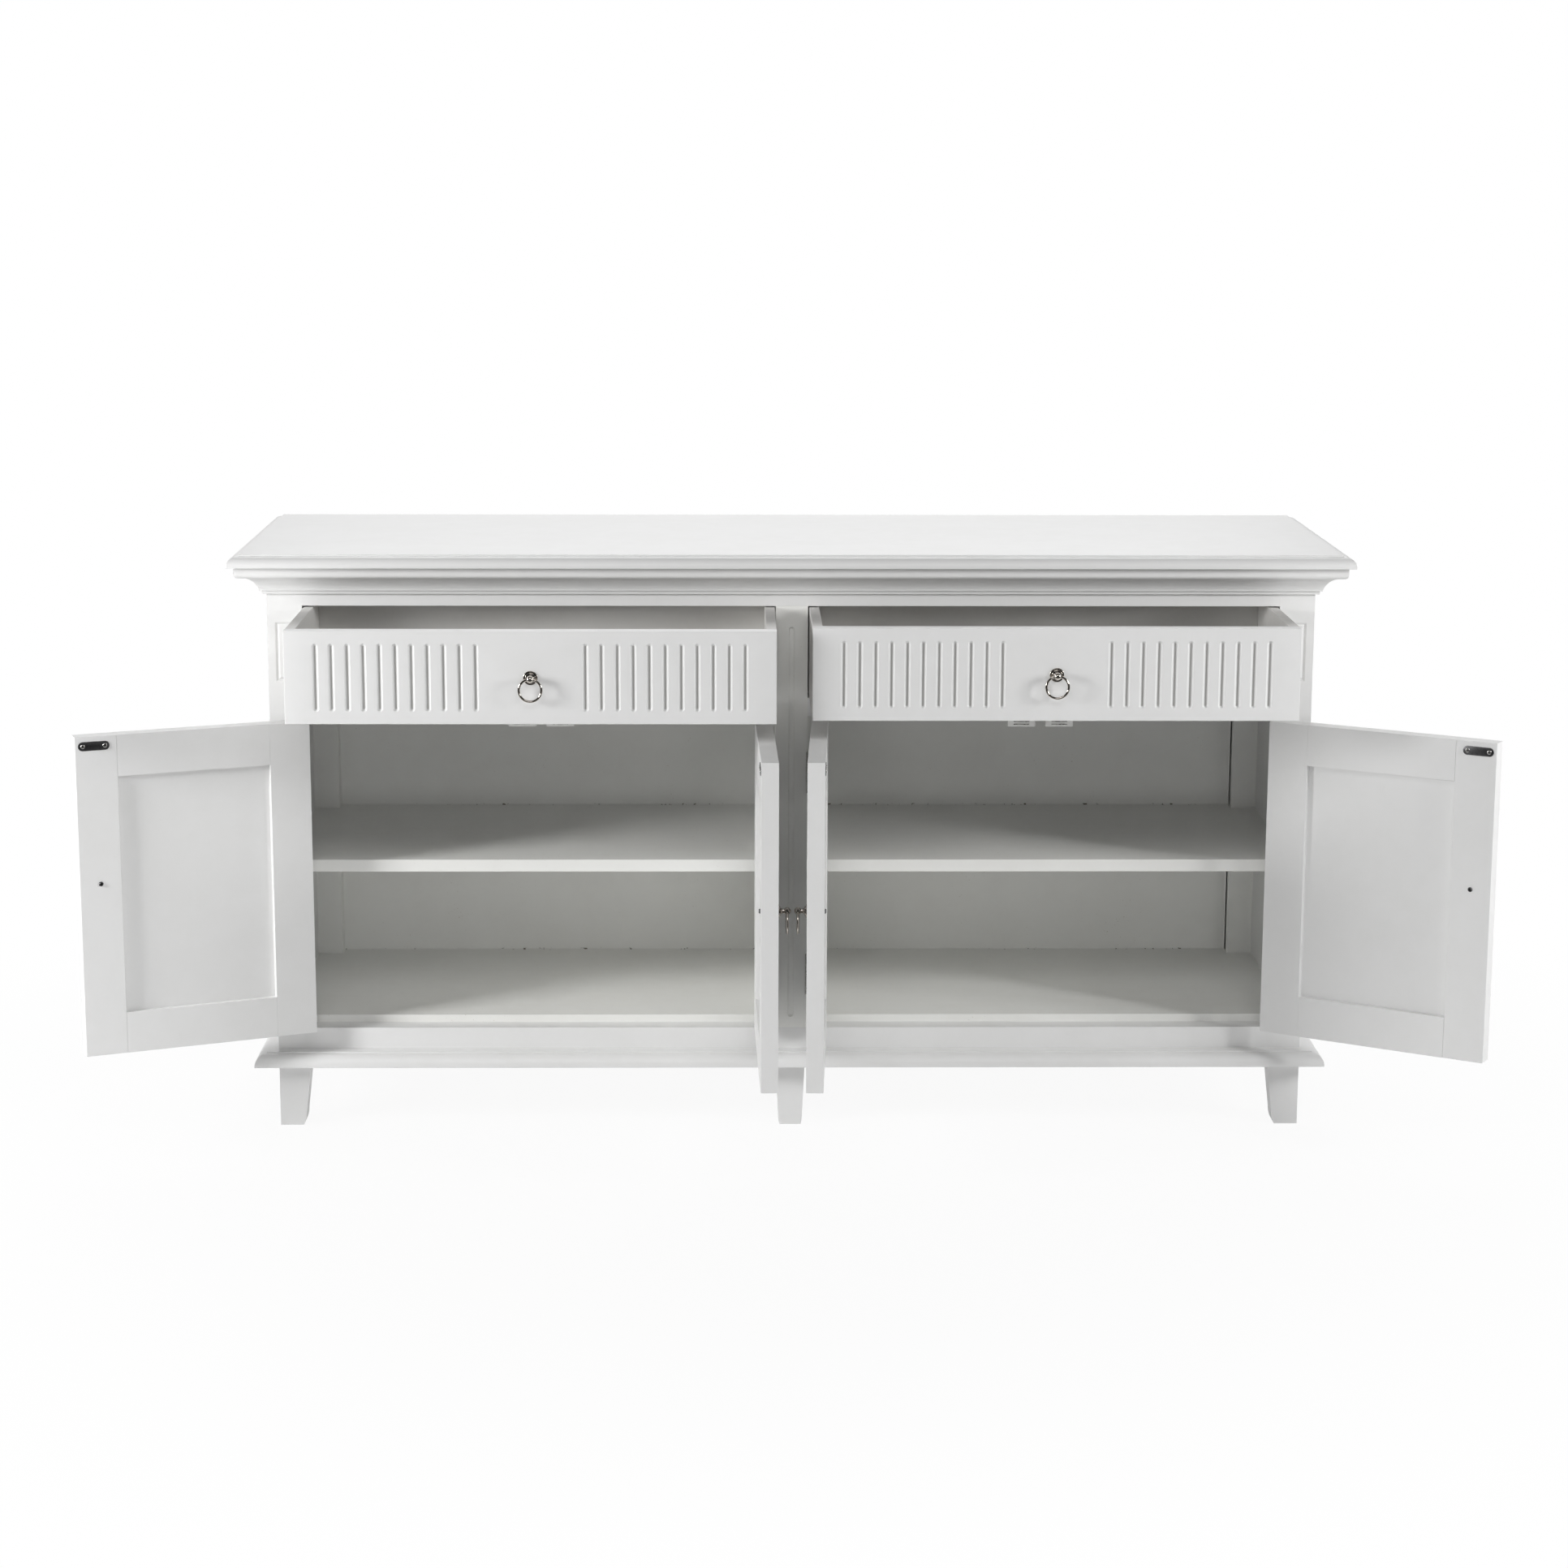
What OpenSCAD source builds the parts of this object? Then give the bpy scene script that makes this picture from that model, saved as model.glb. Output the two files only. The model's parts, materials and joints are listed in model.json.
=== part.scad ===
/* [Overall size] */
// Width across the outer faces of the legs
body_w = 1500; // [1300:10:1800]
// Depth of the body from its front face to its back
body_d = 432; // [380:2:520]
// Height from the floor to the top surface
height = 850; // [800:5:950]
// Height of the tapered feet below the bottom rails
foot_h = 96; // [70:1:130]

/* [Top and mouldings] */
// Thickness of the top board
top_t = 18; // [18:1:25]
// Overhang of the top board past the front and the sides
top_overhang = 50; // [44:1:70]
// Overhang of the top board behind the back
top_back = 18; // [0:1:30]
// Radius of the ovolo along the edge of the top board
top_ovolo_r = 14; // [8:0.5:15]
// Width of the step beside the ovolo of the top board
quirk_w = 3; // [1:0.5:5]
// Height of the step beside the ovolo of the top board
quirk_h = 2.5; // [1:0.5:3]
// Height of the cornice moulding under the top board
cornice_h = 42; // [38:1:55]
// Projection of the cornice moulding
cornice_p = 40; // [34:1:43]
// Height of the flat band at the top of the cornice
fascia_h = 16; // [12:1:20]
// Radius of the rounded lower corner of that band
fascia_r = 6; // [2:0.5:8]
// Radius of the cove in the cornice
cove_r = 29; // [25:1:45]
// Distance from the body to the outer end of the cove
cove_p = 29; // [24:1:33]
// Projection of the fillet below the cove
fillet_p = 5.5; // [3:0.5:6]
// Height of the small lip between the cove and the fillet
lip_h = 2; // [1:0.5:3]
// Projection of that lip
lip_p = 9; // [7:0.5:12]
// Height of the fillet below the cove
fillet_h = 5; // [3:0.5:8]
// Height of the base moulding
base_h = 21; // [20:1:30]
// Projection of the base moulding
base_p = 32; // [24:1:36]
// Radius of the ovolo on the base moulding
base_ovolo_r = 16; // [10:0.5:16]
// Height of the step above that ovolo
base_step_h = 1.8; // [1:0.1:3]
// Fall of the ledge on the base moulding
base_fall = 1; // [0.5:0.1:1.5]

/* [Frame] */
// Width of the outer posts
post_w = 50; // [44:1:60]
// Depth of the posts
post_d = 36; // [34:1:44]
// Width of the centre stile and the centre feet
stile_w = 46; // [42:1:60]
// Height of the bottom rails
bottom_rail_h = 52; // [46:1:70]
// Height of the rails under the drawers
drawer_rail_h = 27; // [22:1:35]
// Depth of the rails under the drawers
drawer_rail_d = 45; // [42:1:60]
// Height of the top rails
top_rail_h = 60; // [54:1:75]
// Thickness of the side rails
side_rail_t = 20; // [18:1:24]
// Thickness of the back rails
back_rail_t = 28; // [26:1:32]
// Length of the tenons in the posts
tenon_l = 25; // [15:1:28]
// Length of the tenons in and on the centre stile
stile_tenon_l = 15; // [8:1:16]
// Thickness of the tenons
tenon_t = 12; // [8:1:13]
// Distance from the face of a rail to its tenon
tenon_y = 10; // [6:1:11]
// Wood between the tenons of the back rails and the back panel
back_tenon_gap = 4; // [2:1:6]
// Height of the shoulders above and below a tenon
tenon_shoulder = 5; // [3:0.5:6]
// Clearance on each side of a glued joint
joint_gap = 0.1; // [0.05:0.05:0.3]
// Depth of the grooves that hold the panels
groove_d = 10; // [6:0.5:11]
// Thickness of the side panels
side_panel_t = 6; // [5:0.5:8]
// Recess of the side panels from the outer faces of the legs
side_recess = 5.4; // [4:0.2:6]
// Thickness of the back panel
back_panel_t = 8; // [5:0.5:10]
// Thickness of the partition between the bays
partition_t = 18; // [14:1:22]
// Thickness of the cupboard floor
floor_t = 11; // [8:0.5:18]
// Distance from the front face to the edge of the floor
floor_set_back = 31.5; // [28:0.5:33]
// Thickness of the shelves
shelf_t = 18; // [14:1:22]
// Height of the shelf surface above the ground
shelf_z = 394; // [300:1:450]
// Distance from the front face to the edge of the shelves
shelf_set_back = 28; // [27:1:34]
// Width of the wooden cleats under the shelves
cleat_w = 14; // [10:1:20]
// Height of the cleats
cleat_h = 20; // [15:1:30]
// Distance from the front face to the cleats
cleat_set_back = 72; // [40:1:100]

/* [Feet and carving] */
// Sideways draw of the shoulder at the top of a foot
shoulder_in = 4; // [2:0.5:5]
// Height of that shoulder
shoulder_h = 8; // [5:0.5:12]
// Sideways draw of an outer foot down to its toe
taper_in = 11.5; // [8:0.5:14]
// Extra draw of the rounded toe
toe_in = 5; // [2:0.5:6]
// Height of the rounded toe
toe_h = 19; // [12:1:24]
// Draw of the inner face of a foot, front to back
foot_back_in = 8; // [4:0.5:12]
// Draw of each side of the centre feet
centre_foot_in = 7.5; // [4:0.5:9]
// Margin from the routed frame to the edges of a post
carve_margin = 11; // [8:0.5:13]
// Distance from the ends of a drawer front to the routed frame
carve_end = 21.5; // [15:0.5:30]
// Width of the routed groove on the posts
carve_w = 6; // [4:0.5:7]
// Depth of the routed groove on the posts
carve_d = 2.5; // [1.5:0.5:4]
// Radius of the cutter that makes the flutes
flute_r = 5; // [4:0.5:6]
// Depth of the flutes
flute_d = 2.6; // [1.5:0.1:3]
// Distance from the flute of the centre stile to the drawers' top
stile_flute_top = 30; // [20:1:60]
// Distance from the flute of the centre stile to the bottom rail
stile_flute_bottom = 16; // [10:1:60]

/* [Drawers] */
// Height of the drawer fronts
drawer_h = 129; // [110:1:150]
// Thickness of the drawer fronts
drawer_front_t = 22; // [18:1:25]
// Gap around the drawer fronts
drawer_gap = 2; // [1.5:0.5:3]
// Length of the drawers from front to back
drawer_l = 305; // [270:1:320]
// Thickness of the drawer sides
drawer_side_t = 14; // [12:1:16]
// Thickness of the drawer backs
drawer_back_t = 14; // [10:1:16]
// Thickness of the drawer bottoms
drawer_bottom_t = 6; // [4:0.5:8]
// Height of the drawer bottom above the edge of the sides
drawer_bottom_z = 12; // [8:1:16]
// Depth of the grooves in the drawer
drawer_groove_d = 6; // [4:0.5:7]
// Thickness of the drawer front left outside the dovetails
dovetail_lap = 8; // [6:0.5:10]
// Share of its part of the side that a dovetail fills at its narrow end
tail_root = 0.56; // [0.4:0.02:0.6]
// Share that it fills at its wide end
tail_tip = 0.72; // [0.62:0.02:0.8]
// Number of dovetails at each front corner
dovetails = 3; // [2:1:4]
// Distance that the left drawer is pulled out
left_pull = 225; // [0:1:240]
// Distance that the right drawer is pulled out
right_pull = 198; // [0:1:240]
// Number of flutes in each group
flutes = 11; // [5:1:12]
// Distance between flutes
flute_pitch = 21.85; // [18:0.05:22]
// Distance from the first flute to the end of the front
flute_end = 43; // [35:0.5:50]
// Distance from the flutes to the upper and lower edges
flute_margin = 17.5; // [12:0.5:25]
// Width of the drawer runners
runner_w = 32; // [28:1:40]
// Height of the drawer runners and kickers
runner_h = 20; // [14:1:24]
// Play between a drawer and its runners and guides
runner_play = 0.3; // [0.3:0.1:1]
// Play beside a drawer
guide_play = 1; // [0.5:0.1:1.5]
// Height of the side guides above the runners
guide_h = 24; // [15:1:40]

/* [Doors] */
// Thickness of the doors
door_t = 24; // [20:1:25]
// Gap around the doors
door_gap = 2; // [2:0.5:3]
// Width of the door stiles and rails
door_frame_w = 59; // [50:1:75]
// Thickness of the door panels
door_panel_t = 6; // [5:0.5:8]
// Angle that the outer left door is open
outer_left_angle = 157.7; // [0:0.1:170]
// Angle that the outer right door is open
outer_right_angle = 149.4; // [0:0.1:170]
// Angle that the inner left door is open
inner_left_angle = 91; // [0:0.1:91]
// Angle that the inner right door is open
inner_right_angle = 92.4; // [0:0.1:92.4]

/* [Hinges and catches] */
// Height of a hinge leaf
leaf_h = 60; // [40:1:80]
// Thickness of a hinge leaf
leaf_t = 0.9; // [0.6:0.05:0.9]
// Distance that a leaf reaches behind the front face
leaf_reach = 18; // [14:0.5:20]
// Distance from the end of a door to its hinge
hinge_inset = 50; // [30:1:90]
// Radius of the hinge knuckles
knuckle_r = 3; // [2.6:0.1:3.5]
// Gap between knuckles
knuckle_gap = 0.3; // [0.2:0.05:0.5]
// Radius of the hinge pins
pin_r = 1.5; // [1.2:0.05:1.6]
// Radial play of the hinge pins
pin_fit = 0.05; // [0.02:0.01:0.08]
// Radius of the sphere that rounds the heads of the hinge pins, beyond the knuckles
pin_dome = 0.2; // [0.1:0.05:0.5]
// Distance from the front face to the axis of the hinge pins
pin_out = 5; // [4.5:0.1:6]
// Length of a strike plate
strike_l = 44; // [36:1:50]
// Width of a strike plate
strike_w = 12.5; // [10:0.5:15]
// Thickness of a strike plate
strike_t = 1; // [0.8:0.1:1.5]
// Distance from the free edge of a door to the centre of its strike
strike_end = 26.5; // [26:0.5:30]
// Distance from the top of a door to its strike
strike_top = 7.2; // [5:0.1:12]
// Distance between the two screws of a strike plate
strike_screws = 31; // [20:1:34]
// Length of a magnet catch
catch_l = 40; // [30:1:46]
// Depth of a magnet catch
catch_d = 14; // [10:1:16]
// Height of a magnet catch
catch_h = 20; // [16:1:24]
// Air between a closed strike and its catch
catch_gap = 0.3; // [0.25:0.05:0.6]
// Radius of the screws of a strike plate
plate_screw_r = 1.3; // [1:0.1:1.5]
// Length of those screws
plate_screw_l = 10; // [8:1:12]
// Height of their heads above the plate
plate_screw_head_h = 0.2; // [0.1:0.05:0.2]

/* [Ring pulls] */
// Distance from the face to the centre of the ball
pull_out = 12.5; // [11.5:0.5:13]
// Radius of the ball
ball_r = 5.2; // [4.8:0.1:5.4]
// Radius of the eye through the ball
eye_r = 2.6; // [2.5:0.05:2.8]
// Radius of the rosette on the face
rosette_r = 10; // [8:0.5:12]
// Thickness of the rosette
rosette_t = 3.4; // [2.8:0.1:4]
// Height of the rim around the rosette
rosette_rim = 1.2; // [0.8:0.1:1.4]
// Width and height of the rounding on that rim
rosette_round = 1; // [0.6:0.1:1.2]
// Width of the step between the rim and the boss of the rosette
rosette_step = 2.6; // [2:0.1:3]
// Draw of the boss from its foot to its face
boss_draw = 0.5; // [0.2:0.1:0.8]
// Width of the cone at the foot of the neck
neck_cone_w = 1; // [0.6:0.1:1.4]
// Height of the fall from the boss to that cone
neck_fall = 0.8; // [0.4:0.1:1]
// Height of the top of that cone above the boss
neck_cone_h = 2; // [1.4:0.1:2.4]
// Radius of the neck between rosette and ball
neck_r = 3.2; // [2.8:0.1:3.6]
// Radius from the centre of the ring to the middle of its rod
ring_r = 15.4; // [14:0.1:18]
// Radius of the rod of the ring
rod_r = 1.75; // [1.4:0.05:1.8]
// Radius of the fixing bolt
bolt_r = 2; // [1.5:0.1:2]
// Radius of the head of the fixing bolt
bolt_head_r = 3.4; // [3:0.1:4]
// Height of the head of the fixing bolt
bolt_head_h = 2.2; // [1.6:0.1:2.6]
// Width of the slot in that head
bolt_slot_w = 0.8; // [0.6:0.1:1.2]
// Length of the bolt inside the mount
bolt_depth = 6; // [4:0.5:7]
// Height of the door pulls above the bottom of the door
door_pull_z = 249; // [180:1:300]

/* [Hidden] */
$fn = 64;

// Colours of the photographed finish
paint = [0.94, 0.94, 0.93];
inside_paint = [0.90, 0.90, 0.89];
nickel = [0.80, 0.78, 0.74];
dark_steel = [0.35, 0.35, 0.36];

// The model stands with the middle of the centre foot's sole at the origin
front_y = -(post_d - foot_back_in) / 2;

// A cutter runs this far past the face that it cuts
over = 1;

// Heights of the frame, from the ground up
post_top = height - top_t;
top_rail_z = post_top - top_rail_h;
drawer_open_z = top_rail_z - drawer_h - 2 * drawer_gap;
drawer_rail_z = drawer_open_z - drawer_rail_h;
door_open_z = foot_h + bottom_rail_h;
floor_z = door_open_z + floor_t;

// Distances from the centreline to the sides of a bay
open_in = stile_w / 2;
open_out = body_w / 2 - post_w;
bay_w = open_out - open_in;
panel_out_x = body_w / 2 - side_recess;
panel_in_x = panel_out_x - side_panel_t;
partition_x = partition_t / 2;

// Depths of the frame, from the front face back
back_post_y = body_d - post_d;
back_panel_y = body_d - back_panel_t;
back_tenon_y = back_panel_y - tenon_t - back_tenon_gap;

// Doors and drawers
door_w = (bay_w - 3 * door_gap) / 2;
door_h = drawer_rail_z - door_open_z - 2 * door_gap;
door_z = door_open_z + door_gap;
door_panel_y = (door_t - door_panel_t) / 2;
drawer_w = bay_w - 2 * drawer_gap;
drawer_z = drawer_open_z + drawer_gap;
strike_x = door_w - strike_end;
strike_z = door_h - strike_top - strike_w / 2;

// One door is its hinge edge, its open angle and whether it is of the mirrored hand
outer_left = [-open_out + door_gap, outer_left_angle, false];
inner_right = [open_in + door_gap, inner_right_angle, false];
outer_right = [-open_out + door_gap, outer_right_angle, true];
inner_left = [open_in + door_gap, inner_left_angle, true];
left_hand = [-open_out + door_gap, open_in + door_gap];

// One drawer is the place of its left end and the distance that it is pulled out
left_drawer = [-open_out + drawer_gap, left_pull];
right_drawer = [open_in + drawer_gap, right_pull];

// Places that share a size
mitre_gap = joint_gap;
board_gap = 0.3;
bolt_fit = 0.2;

// Helpers for symmetrical pieces and moulded lengths

module both_sides() {
    children();
    mirror([1, 0, 0]) children();
}

// Extrudes a section along X. The section's x is the projection and its y the height
module along_x(length) {
    mirror([0, 1, 0])
        translate([-length / 2, 0, 0])
            rotate([90, 0, 90])
                linear_extrude(length) children();
}

// Extrudes a section backwards along the right-hand side, from y = from to y = to
module along_side(from, to) {
    translate([body_w / 2, to, 0])
        rotate([90, 0, 0])
            linear_extrude(to - from) children();
}

// A moulding across the front, mitred at both corners of the body
module mitred_front(reach) {
    half = body_w / 2 - mitre_gap;
    far = reach + over;
    intersection() {
        along_x(body_w + 2 * far) children();
        linear_extrude(height)
            polygon([[-half - far, -far], [half + far, -far], [half - over, over], [-half + over, over]]);
    }
}

// A moulding along the right-hand side, mitred at the front corner
module mitred_return(reach) {
    corner = body_w / 2;
    far = reach + over;
    intersection() {
        along_side(-far, body_d) children();
        linear_extrude(height)
            polygon([[corner - over, over], [corner + far, -far],
                     [corner + far, body_d + over], [corner - over, body_d + over]]);
    }
}

module quarter_round(radius) {
    intersection() {
        circle(radius);
        square(radius + over);
    }
}

// Section of the top board's moulded edge, reaching back from the body face
module top_edge(back) {
    tip = top_overhang - top_ovolo_r;
    lower = top_t - quirk_h - top_ovolo_r;
    translate([-back, 0]) square([back + top_overhang, lower]);
    translate([-back, 0]) square([back + tip, top_t - quirk_h]);
    translate([-back, 0]) square([back + tip - quirk_w, top_t]);
    translate([tip, lower]) quarter_round(top_ovolo_r);
}

module top_board() {
    half = body_w / 2;
    depth = body_d + top_back;
    color(paint)
        translate([0, front_y, post_top])
            intersection() {
                along_x(body_w + 2 * (top_overhang + over)) top_edge(depth);
                along_side(-top_overhang - over, depth + over)
                    union() {
                        top_edge(half + over);
                        translate([-body_w, 0]) mirror([1, 0]) top_edge(half + over);
                    }
            }
}

// Cornice section: band with a rounded lower corner, shallow cove, lip and fillet
module cornice_section() {
    band_z = cornice_h - fascia_h;
    cove_z = fillet_h + lip_h;
    chord = [cove_p - lip_p, band_z - cove_z];
    rise = sqrt(pow(cove_r, 2) - pow(norm(chord) / 2, 2));
    centre = [cove_p + lip_p, band_z + cove_z] / 2 + [chord[1], -chord[0]] / norm(chord) * rise;
    translate([0, band_z + fascia_r]) square([cornice_p, fascia_h - fascia_r]);
    translate([0, band_z]) square([cornice_p - fascia_r, fascia_h]);
    translate([cornice_p - fascia_r, band_z + fascia_r]) mirror([0, 1]) quarter_round(fascia_r);
    difference() {
        polygon([[0, cove_z], [lip_p, cove_z], [cove_p, band_z], [cove_p, band_z + over], [0, band_z + over]]);
        translate(centre) circle(cove_r);
    }
    translate([0, fillet_h]) square([lip_p, lip_h + over]);
    square([fillet_p, fillet_h + over]);
}

module cornice_moulding() {
    color(paint)
        translate([0, front_y, 0]) {
            mitred_front(cornice_p) translate([0, post_top - cornice_h]) cornice_section();
            both_sides()
                mitred_return(cornice_p) translate([0, post_top - cornice_h]) cornice_section();
        }
}

// Base section: sloping ledge, step and ovolo
module base_section() {
    ledge = base_p - base_ovolo_r;
    ovolo_z = base_h - base_fall - base_step_h - base_ovolo_r;
    polygon([[0, 0], [ledge, 0], [ledge, base_h - base_fall], [0, base_h]]);
    square([base_p, ovolo_z]);
    translate([ledge, ovolo_z]) quarter_round(base_ovolo_r);
}

module base_moulding() {
    color(paint)
        translate([0, front_y, 0]) {
            mitred_front(base_p) translate([0, foot_h]) base_section();
            both_sides() mitred_return(base_p) translate([0, foot_h]) base_section();
        }
}

// The drawn side of a foot from its shoulder to the ground, as pairs of draw and height
toe_turn = 60;
toe_steps = 6;
foot_in = taper_in + toe_in;
function foot_line(draw) = [for (p = concat(
    [[0, foot_h], [shoulder_in, foot_h - shoulder_h], [taper_in, toe_h]],
    [for (i = [1:toe_steps])
        let (a = toe_turn * i / toe_steps)
        [taper_in + toe_in * (1 - cos(a)) / (1 - cos(toe_turn)), toe_h * (1 - sin(a) / sin(toe_turn))]]
)) [p[0] * draw / foot_in, p[1]]];

// Outline of a post of the given width, straight on one side and drawn in at the foot on the other
module post_outline(width, top, draw) {
    polygon(concat([[0, 0], [0, top], [width, top]], [for (p = foot_line(draw)) [width - p[0], p[1]]]));
}

// Outline of a centre foot, drawn in on both sides
module centre_foot_outline() {
    line = foot_line(centre_foot_in);
    polygon(concat(
        [for (p = line) [open_in - p[0], p[1]]],
        [for (i = [len(line) - 1:-1:0]) [line[i][0] - open_in, line[i][1]]]
    ));
}

// A post with its outer face at x = 0 and its show face at y = 0
module post_blank() {
    intersection() {
        translate([0, post_d + over, 0])
            rotate([90, 0, 0])
                linear_extrude(post_d + 2 * over) post_outline(post_w, post_top, foot_in);
        translate([-over, 0, 0])
            rotate([90, 0, 90])
                linear_extrude(post_w + 2 * over) post_outline(post_d, post_top, foot_back_in);
    }
}

module centre_foot_blank(tenon) {
    intersection() {
        translate([0, post_d + over, 0])
            rotate([90, 0, 0])
                linear_extrude(post_d + 2 * over) centre_foot_outline();
        translate([-open_in - over, 0, 0])
            rotate([90, 0, 90])
                linear_extrude(stile_w + 2 * over) post_outline(post_d, foot_h, foot_back_in);
    }
    translate([-tenon_t, tenon_y, foot_h - over])
        cube([2 * tenon_t, tenon_t, tenon + over]);
}

// Tenons that point outwards from the left end of a row of rails, each given as height and size
front_rail_rows = [[foot_h, bottom_rail_h], [drawer_rail_z, drawer_rail_h], [top_rail_z, top_rail_h]];
end_rail_rows = [[foot_h, bottom_rail_h], [top_rail_z, top_rail_h]];

module rail_tenon(x, y, row, long, grow) {
    translate([x - long - grow, y - grow, row[0] + tenon_shoulder - grow])
        cube([long + grow + over, tenon_t + 2 * grow, row[1] - 2 * (tenon_shoulder - grow)]);
}

// Tongues of the side rails, in the groove that also holds the side panel
module side_groove(deep, y) {
    translate([-panel_out_x - joint_gap, y, foot_h - joint_gap])
        cube([side_panel_t + 2 * joint_gap, deep, post_top - foot_h + joint_gap + over]);
}

// V groove of a routed frame, one side of it with mitred ends
module carved_bar(length) {
    flank = carve_w / 2 * (carve_d + over) / carve_d;
    half = length / 2;
    intersection() {
        translate([-half - over, 0, carve_w / 2])
            rotate([90, 0, 90])
                linear_extrude(length + 2 * over)
                    polygon([[carve_d, 0], [-over, flank], [-over, -flank]]);
        translate([0, carve_d + over, 0])
            rotate([90, 0, 0])
                linear_extrude(carve_d + 3 * over)
                    polygon([[-half - over, -over], [half + over, -over],
                             [half - carve_w - over, carve_w + over],
                             [-half + carve_w + over, carve_w + over]]);
    }
}

module carved_frame(width, tall) {
    for (turn = [0, 180])
        rotate([0, turn, 0]) {
            translate([0, 0, -tall / 2]) carved_bar(width);
            rotate([0, 90, 0]) translate([0, 0, -width / 2]) carved_bar(tall);
        }
}

module front_posts() {
    carve_tall = drawer_h - 2 * carve_end;
    color(paint)
        translate([0, front_y, 0])
            both_sides()
                difference() {
                    translate([-body_w / 2, 0, 0]) post_blank();
                    for (row = front_rail_rows)
                        rail_tenon(-open_out, tenon_y, row, tenon_l, joint_gap);
                    side_groove(groove_d + over, post_d - groove_d);
                    translate([-(body_w - post_w) / 2, 0, drawer_z + drawer_h / 2])
                        carved_frame(post_w - 2 * carve_margin, carve_tall);
                }
}

// A round-ended flute in a face at y = 0, from one height to another
module flute(from, to) {
    half_w = sqrt(flute_r * flute_r - pow(flute_r - flute_d, 2));
    low = from + half_w;
    high = to - half_w;
    translate([0, flute_d - flute_r, 0]) {
        translate([0, 0, low]) cylinder(r = flute_r, h = high - low);
        translate([0, 0, low]) sphere(flute_r);
        translate([0, 0, high]) sphere(flute_r);
    }
}

// Tenon that runs through the length of the centre stile and out at both ends
module stile_tenon(grow) {
    translate([-tenon_t - grow, tenon_y - grow, door_open_z - stile_tenon_l - grow])
        cube([2 * (tenon_t + grow), tenon_t + 2 * grow,
              top_rail_z - door_open_z + 2 * (stile_tenon_l + grow)]);
}

module centre_stile() {
    color(paint)
        translate([0, front_y, 0])
            difference() {
                union() {
                    translate([-open_in, 0, door_open_z])
                        cube([stile_w, post_d, top_rail_z - door_open_z]);
                    stile_tenon(0);
                }
                flute(door_open_z + stile_flute_bottom, top_rail_z - stile_flute_top);
                both_sides()
                    mirror([1, 0, 0])
                        rail_tenon(open_in, tenon_y, front_rail_rows[1], stile_tenon_l, joint_gap);
            }
}

module centre_foot() {
    color(paint) translate([0, front_y, 0]) centre_foot_blank(stile_tenon_l);
}

module front_rails() {
    color(paint)
        translate([0, front_y, 0])
            difference() {
                for (row = end_rail_rows) {
                    translate([-open_out, 0, row[0]]) cube([2 * open_out, post_d, row[1]]);
                    both_sides() rail_tenon(-open_out, tenon_y, row, tenon_l, 0);
                }
                stile_tenon(joint_gap);
                translate([-tenon_t - joint_gap, tenon_y - joint_gap, foot_h - over])
                    cube([2 * (tenon_t + joint_gap), tenon_t + 2 * joint_gap,
                          stile_tenon_l + over + joint_gap]);
            }
}

module drawer_rails() {
    row = front_rail_rows[1];
    color(paint)
        translate([0, front_y, 0])
            both_sides() {
                translate([-open_out, 0, row[0]]) cube([bay_w, drawer_rail_d, row[1]]);
                rail_tenon(-open_out, tenon_y, row, tenon_l, 0);
                mirror([1, 0, 0]) rail_tenon(open_in, tenon_y, row, stile_tenon_l, 0);
            }
}

// Rebate in the back frame that takes the back panel
module back_rebate(grow) {
    translate([-open_out - groove_d - grow, back_panel_y, foot_h + groove_d - grow])
        cube([2 * (open_out + groove_d + grow), back_panel_t + over,
              post_top - foot_h - 2 * (groove_d - grow)]);
}

module back_posts() {
    color(paint)
        translate([0, front_y, 0]) {
            both_sides()
                difference() {
                    translate([-body_w / 2, body_d, 0]) mirror([0, 1, 0]) post_blank();
                    for (row = end_rail_rows)
                        rail_tenon(-open_out, back_tenon_y, row, tenon_l, joint_gap);
                    side_groove(groove_d + over, back_post_y - over);
                    back_rebate(joint_gap);
                }
            translate([-open_in, back_post_y, door_open_z])
                cube([stile_w, back_panel_y - back_post_y, top_rail_z - door_open_z]);
            translate([0, body_d, 0]) mirror([0, 1, 0]) centre_foot_blank(0);
        }
}

module side_panels() {
    hold = groove_d - joint_gap;
    color(inside_paint)
        translate([0, front_y, 0])
            both_sides()
                translate([panel_in_x, post_d - hold, door_open_z - hold])
                    cube([side_panel_t, back_post_y - post_d + 2 * hold,
                          top_rail_z - door_open_z + 2 * hold]);
}

module carcass_rails() {
    hold = groove_d - joint_gap;
    color(paint)
        translate([0, front_y, 0]) {
            both_sides()
                difference() {
                    for (row = end_rail_rows) {
                        translate([body_w / 2 - side_rail_t, post_d, row[0]])
                            cube([side_rail_t, back_post_y - post_d, row[1]]);
                        translate([panel_in_x, post_d - hold, row[0]])
                            cube([side_panel_t, back_post_y - post_d + 2 * hold, row[1]]);
                    }
                    translate([panel_in_x - joint_gap, post_d - groove_d - over, door_open_z - groove_d])
                        cube([side_panel_t + 2 * joint_gap, back_post_y - post_d + 2 * (groove_d + over),
                              top_rail_z - door_open_z + 2 * groove_d]);
                }
            difference() {
                for (row = end_rail_rows) {
                    translate([-open_out, body_d - back_rail_t, row[0]])
                        cube([2 * open_out, back_rail_t, row[1]]);
                    both_sides() rail_tenon(-open_out, back_tenon_y, row, tenon_l, 0);
                }
                back_rebate(joint_gap);
            }
        }
}

module back_panel() {
    color(inside_paint)
        translate([0, front_y, 0])
            intersection() {
                back_rebate(0);
                translate([-body_w / 2, 0, 0]) cube([body_w, body_d, height]);
            }
}

module partition() {
    color(inside_paint)
        translate([-partition_x, front_y + post_d, floor_z])
            cube([partition_t, back_post_y - post_d, post_top - floor_z]);
}

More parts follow.
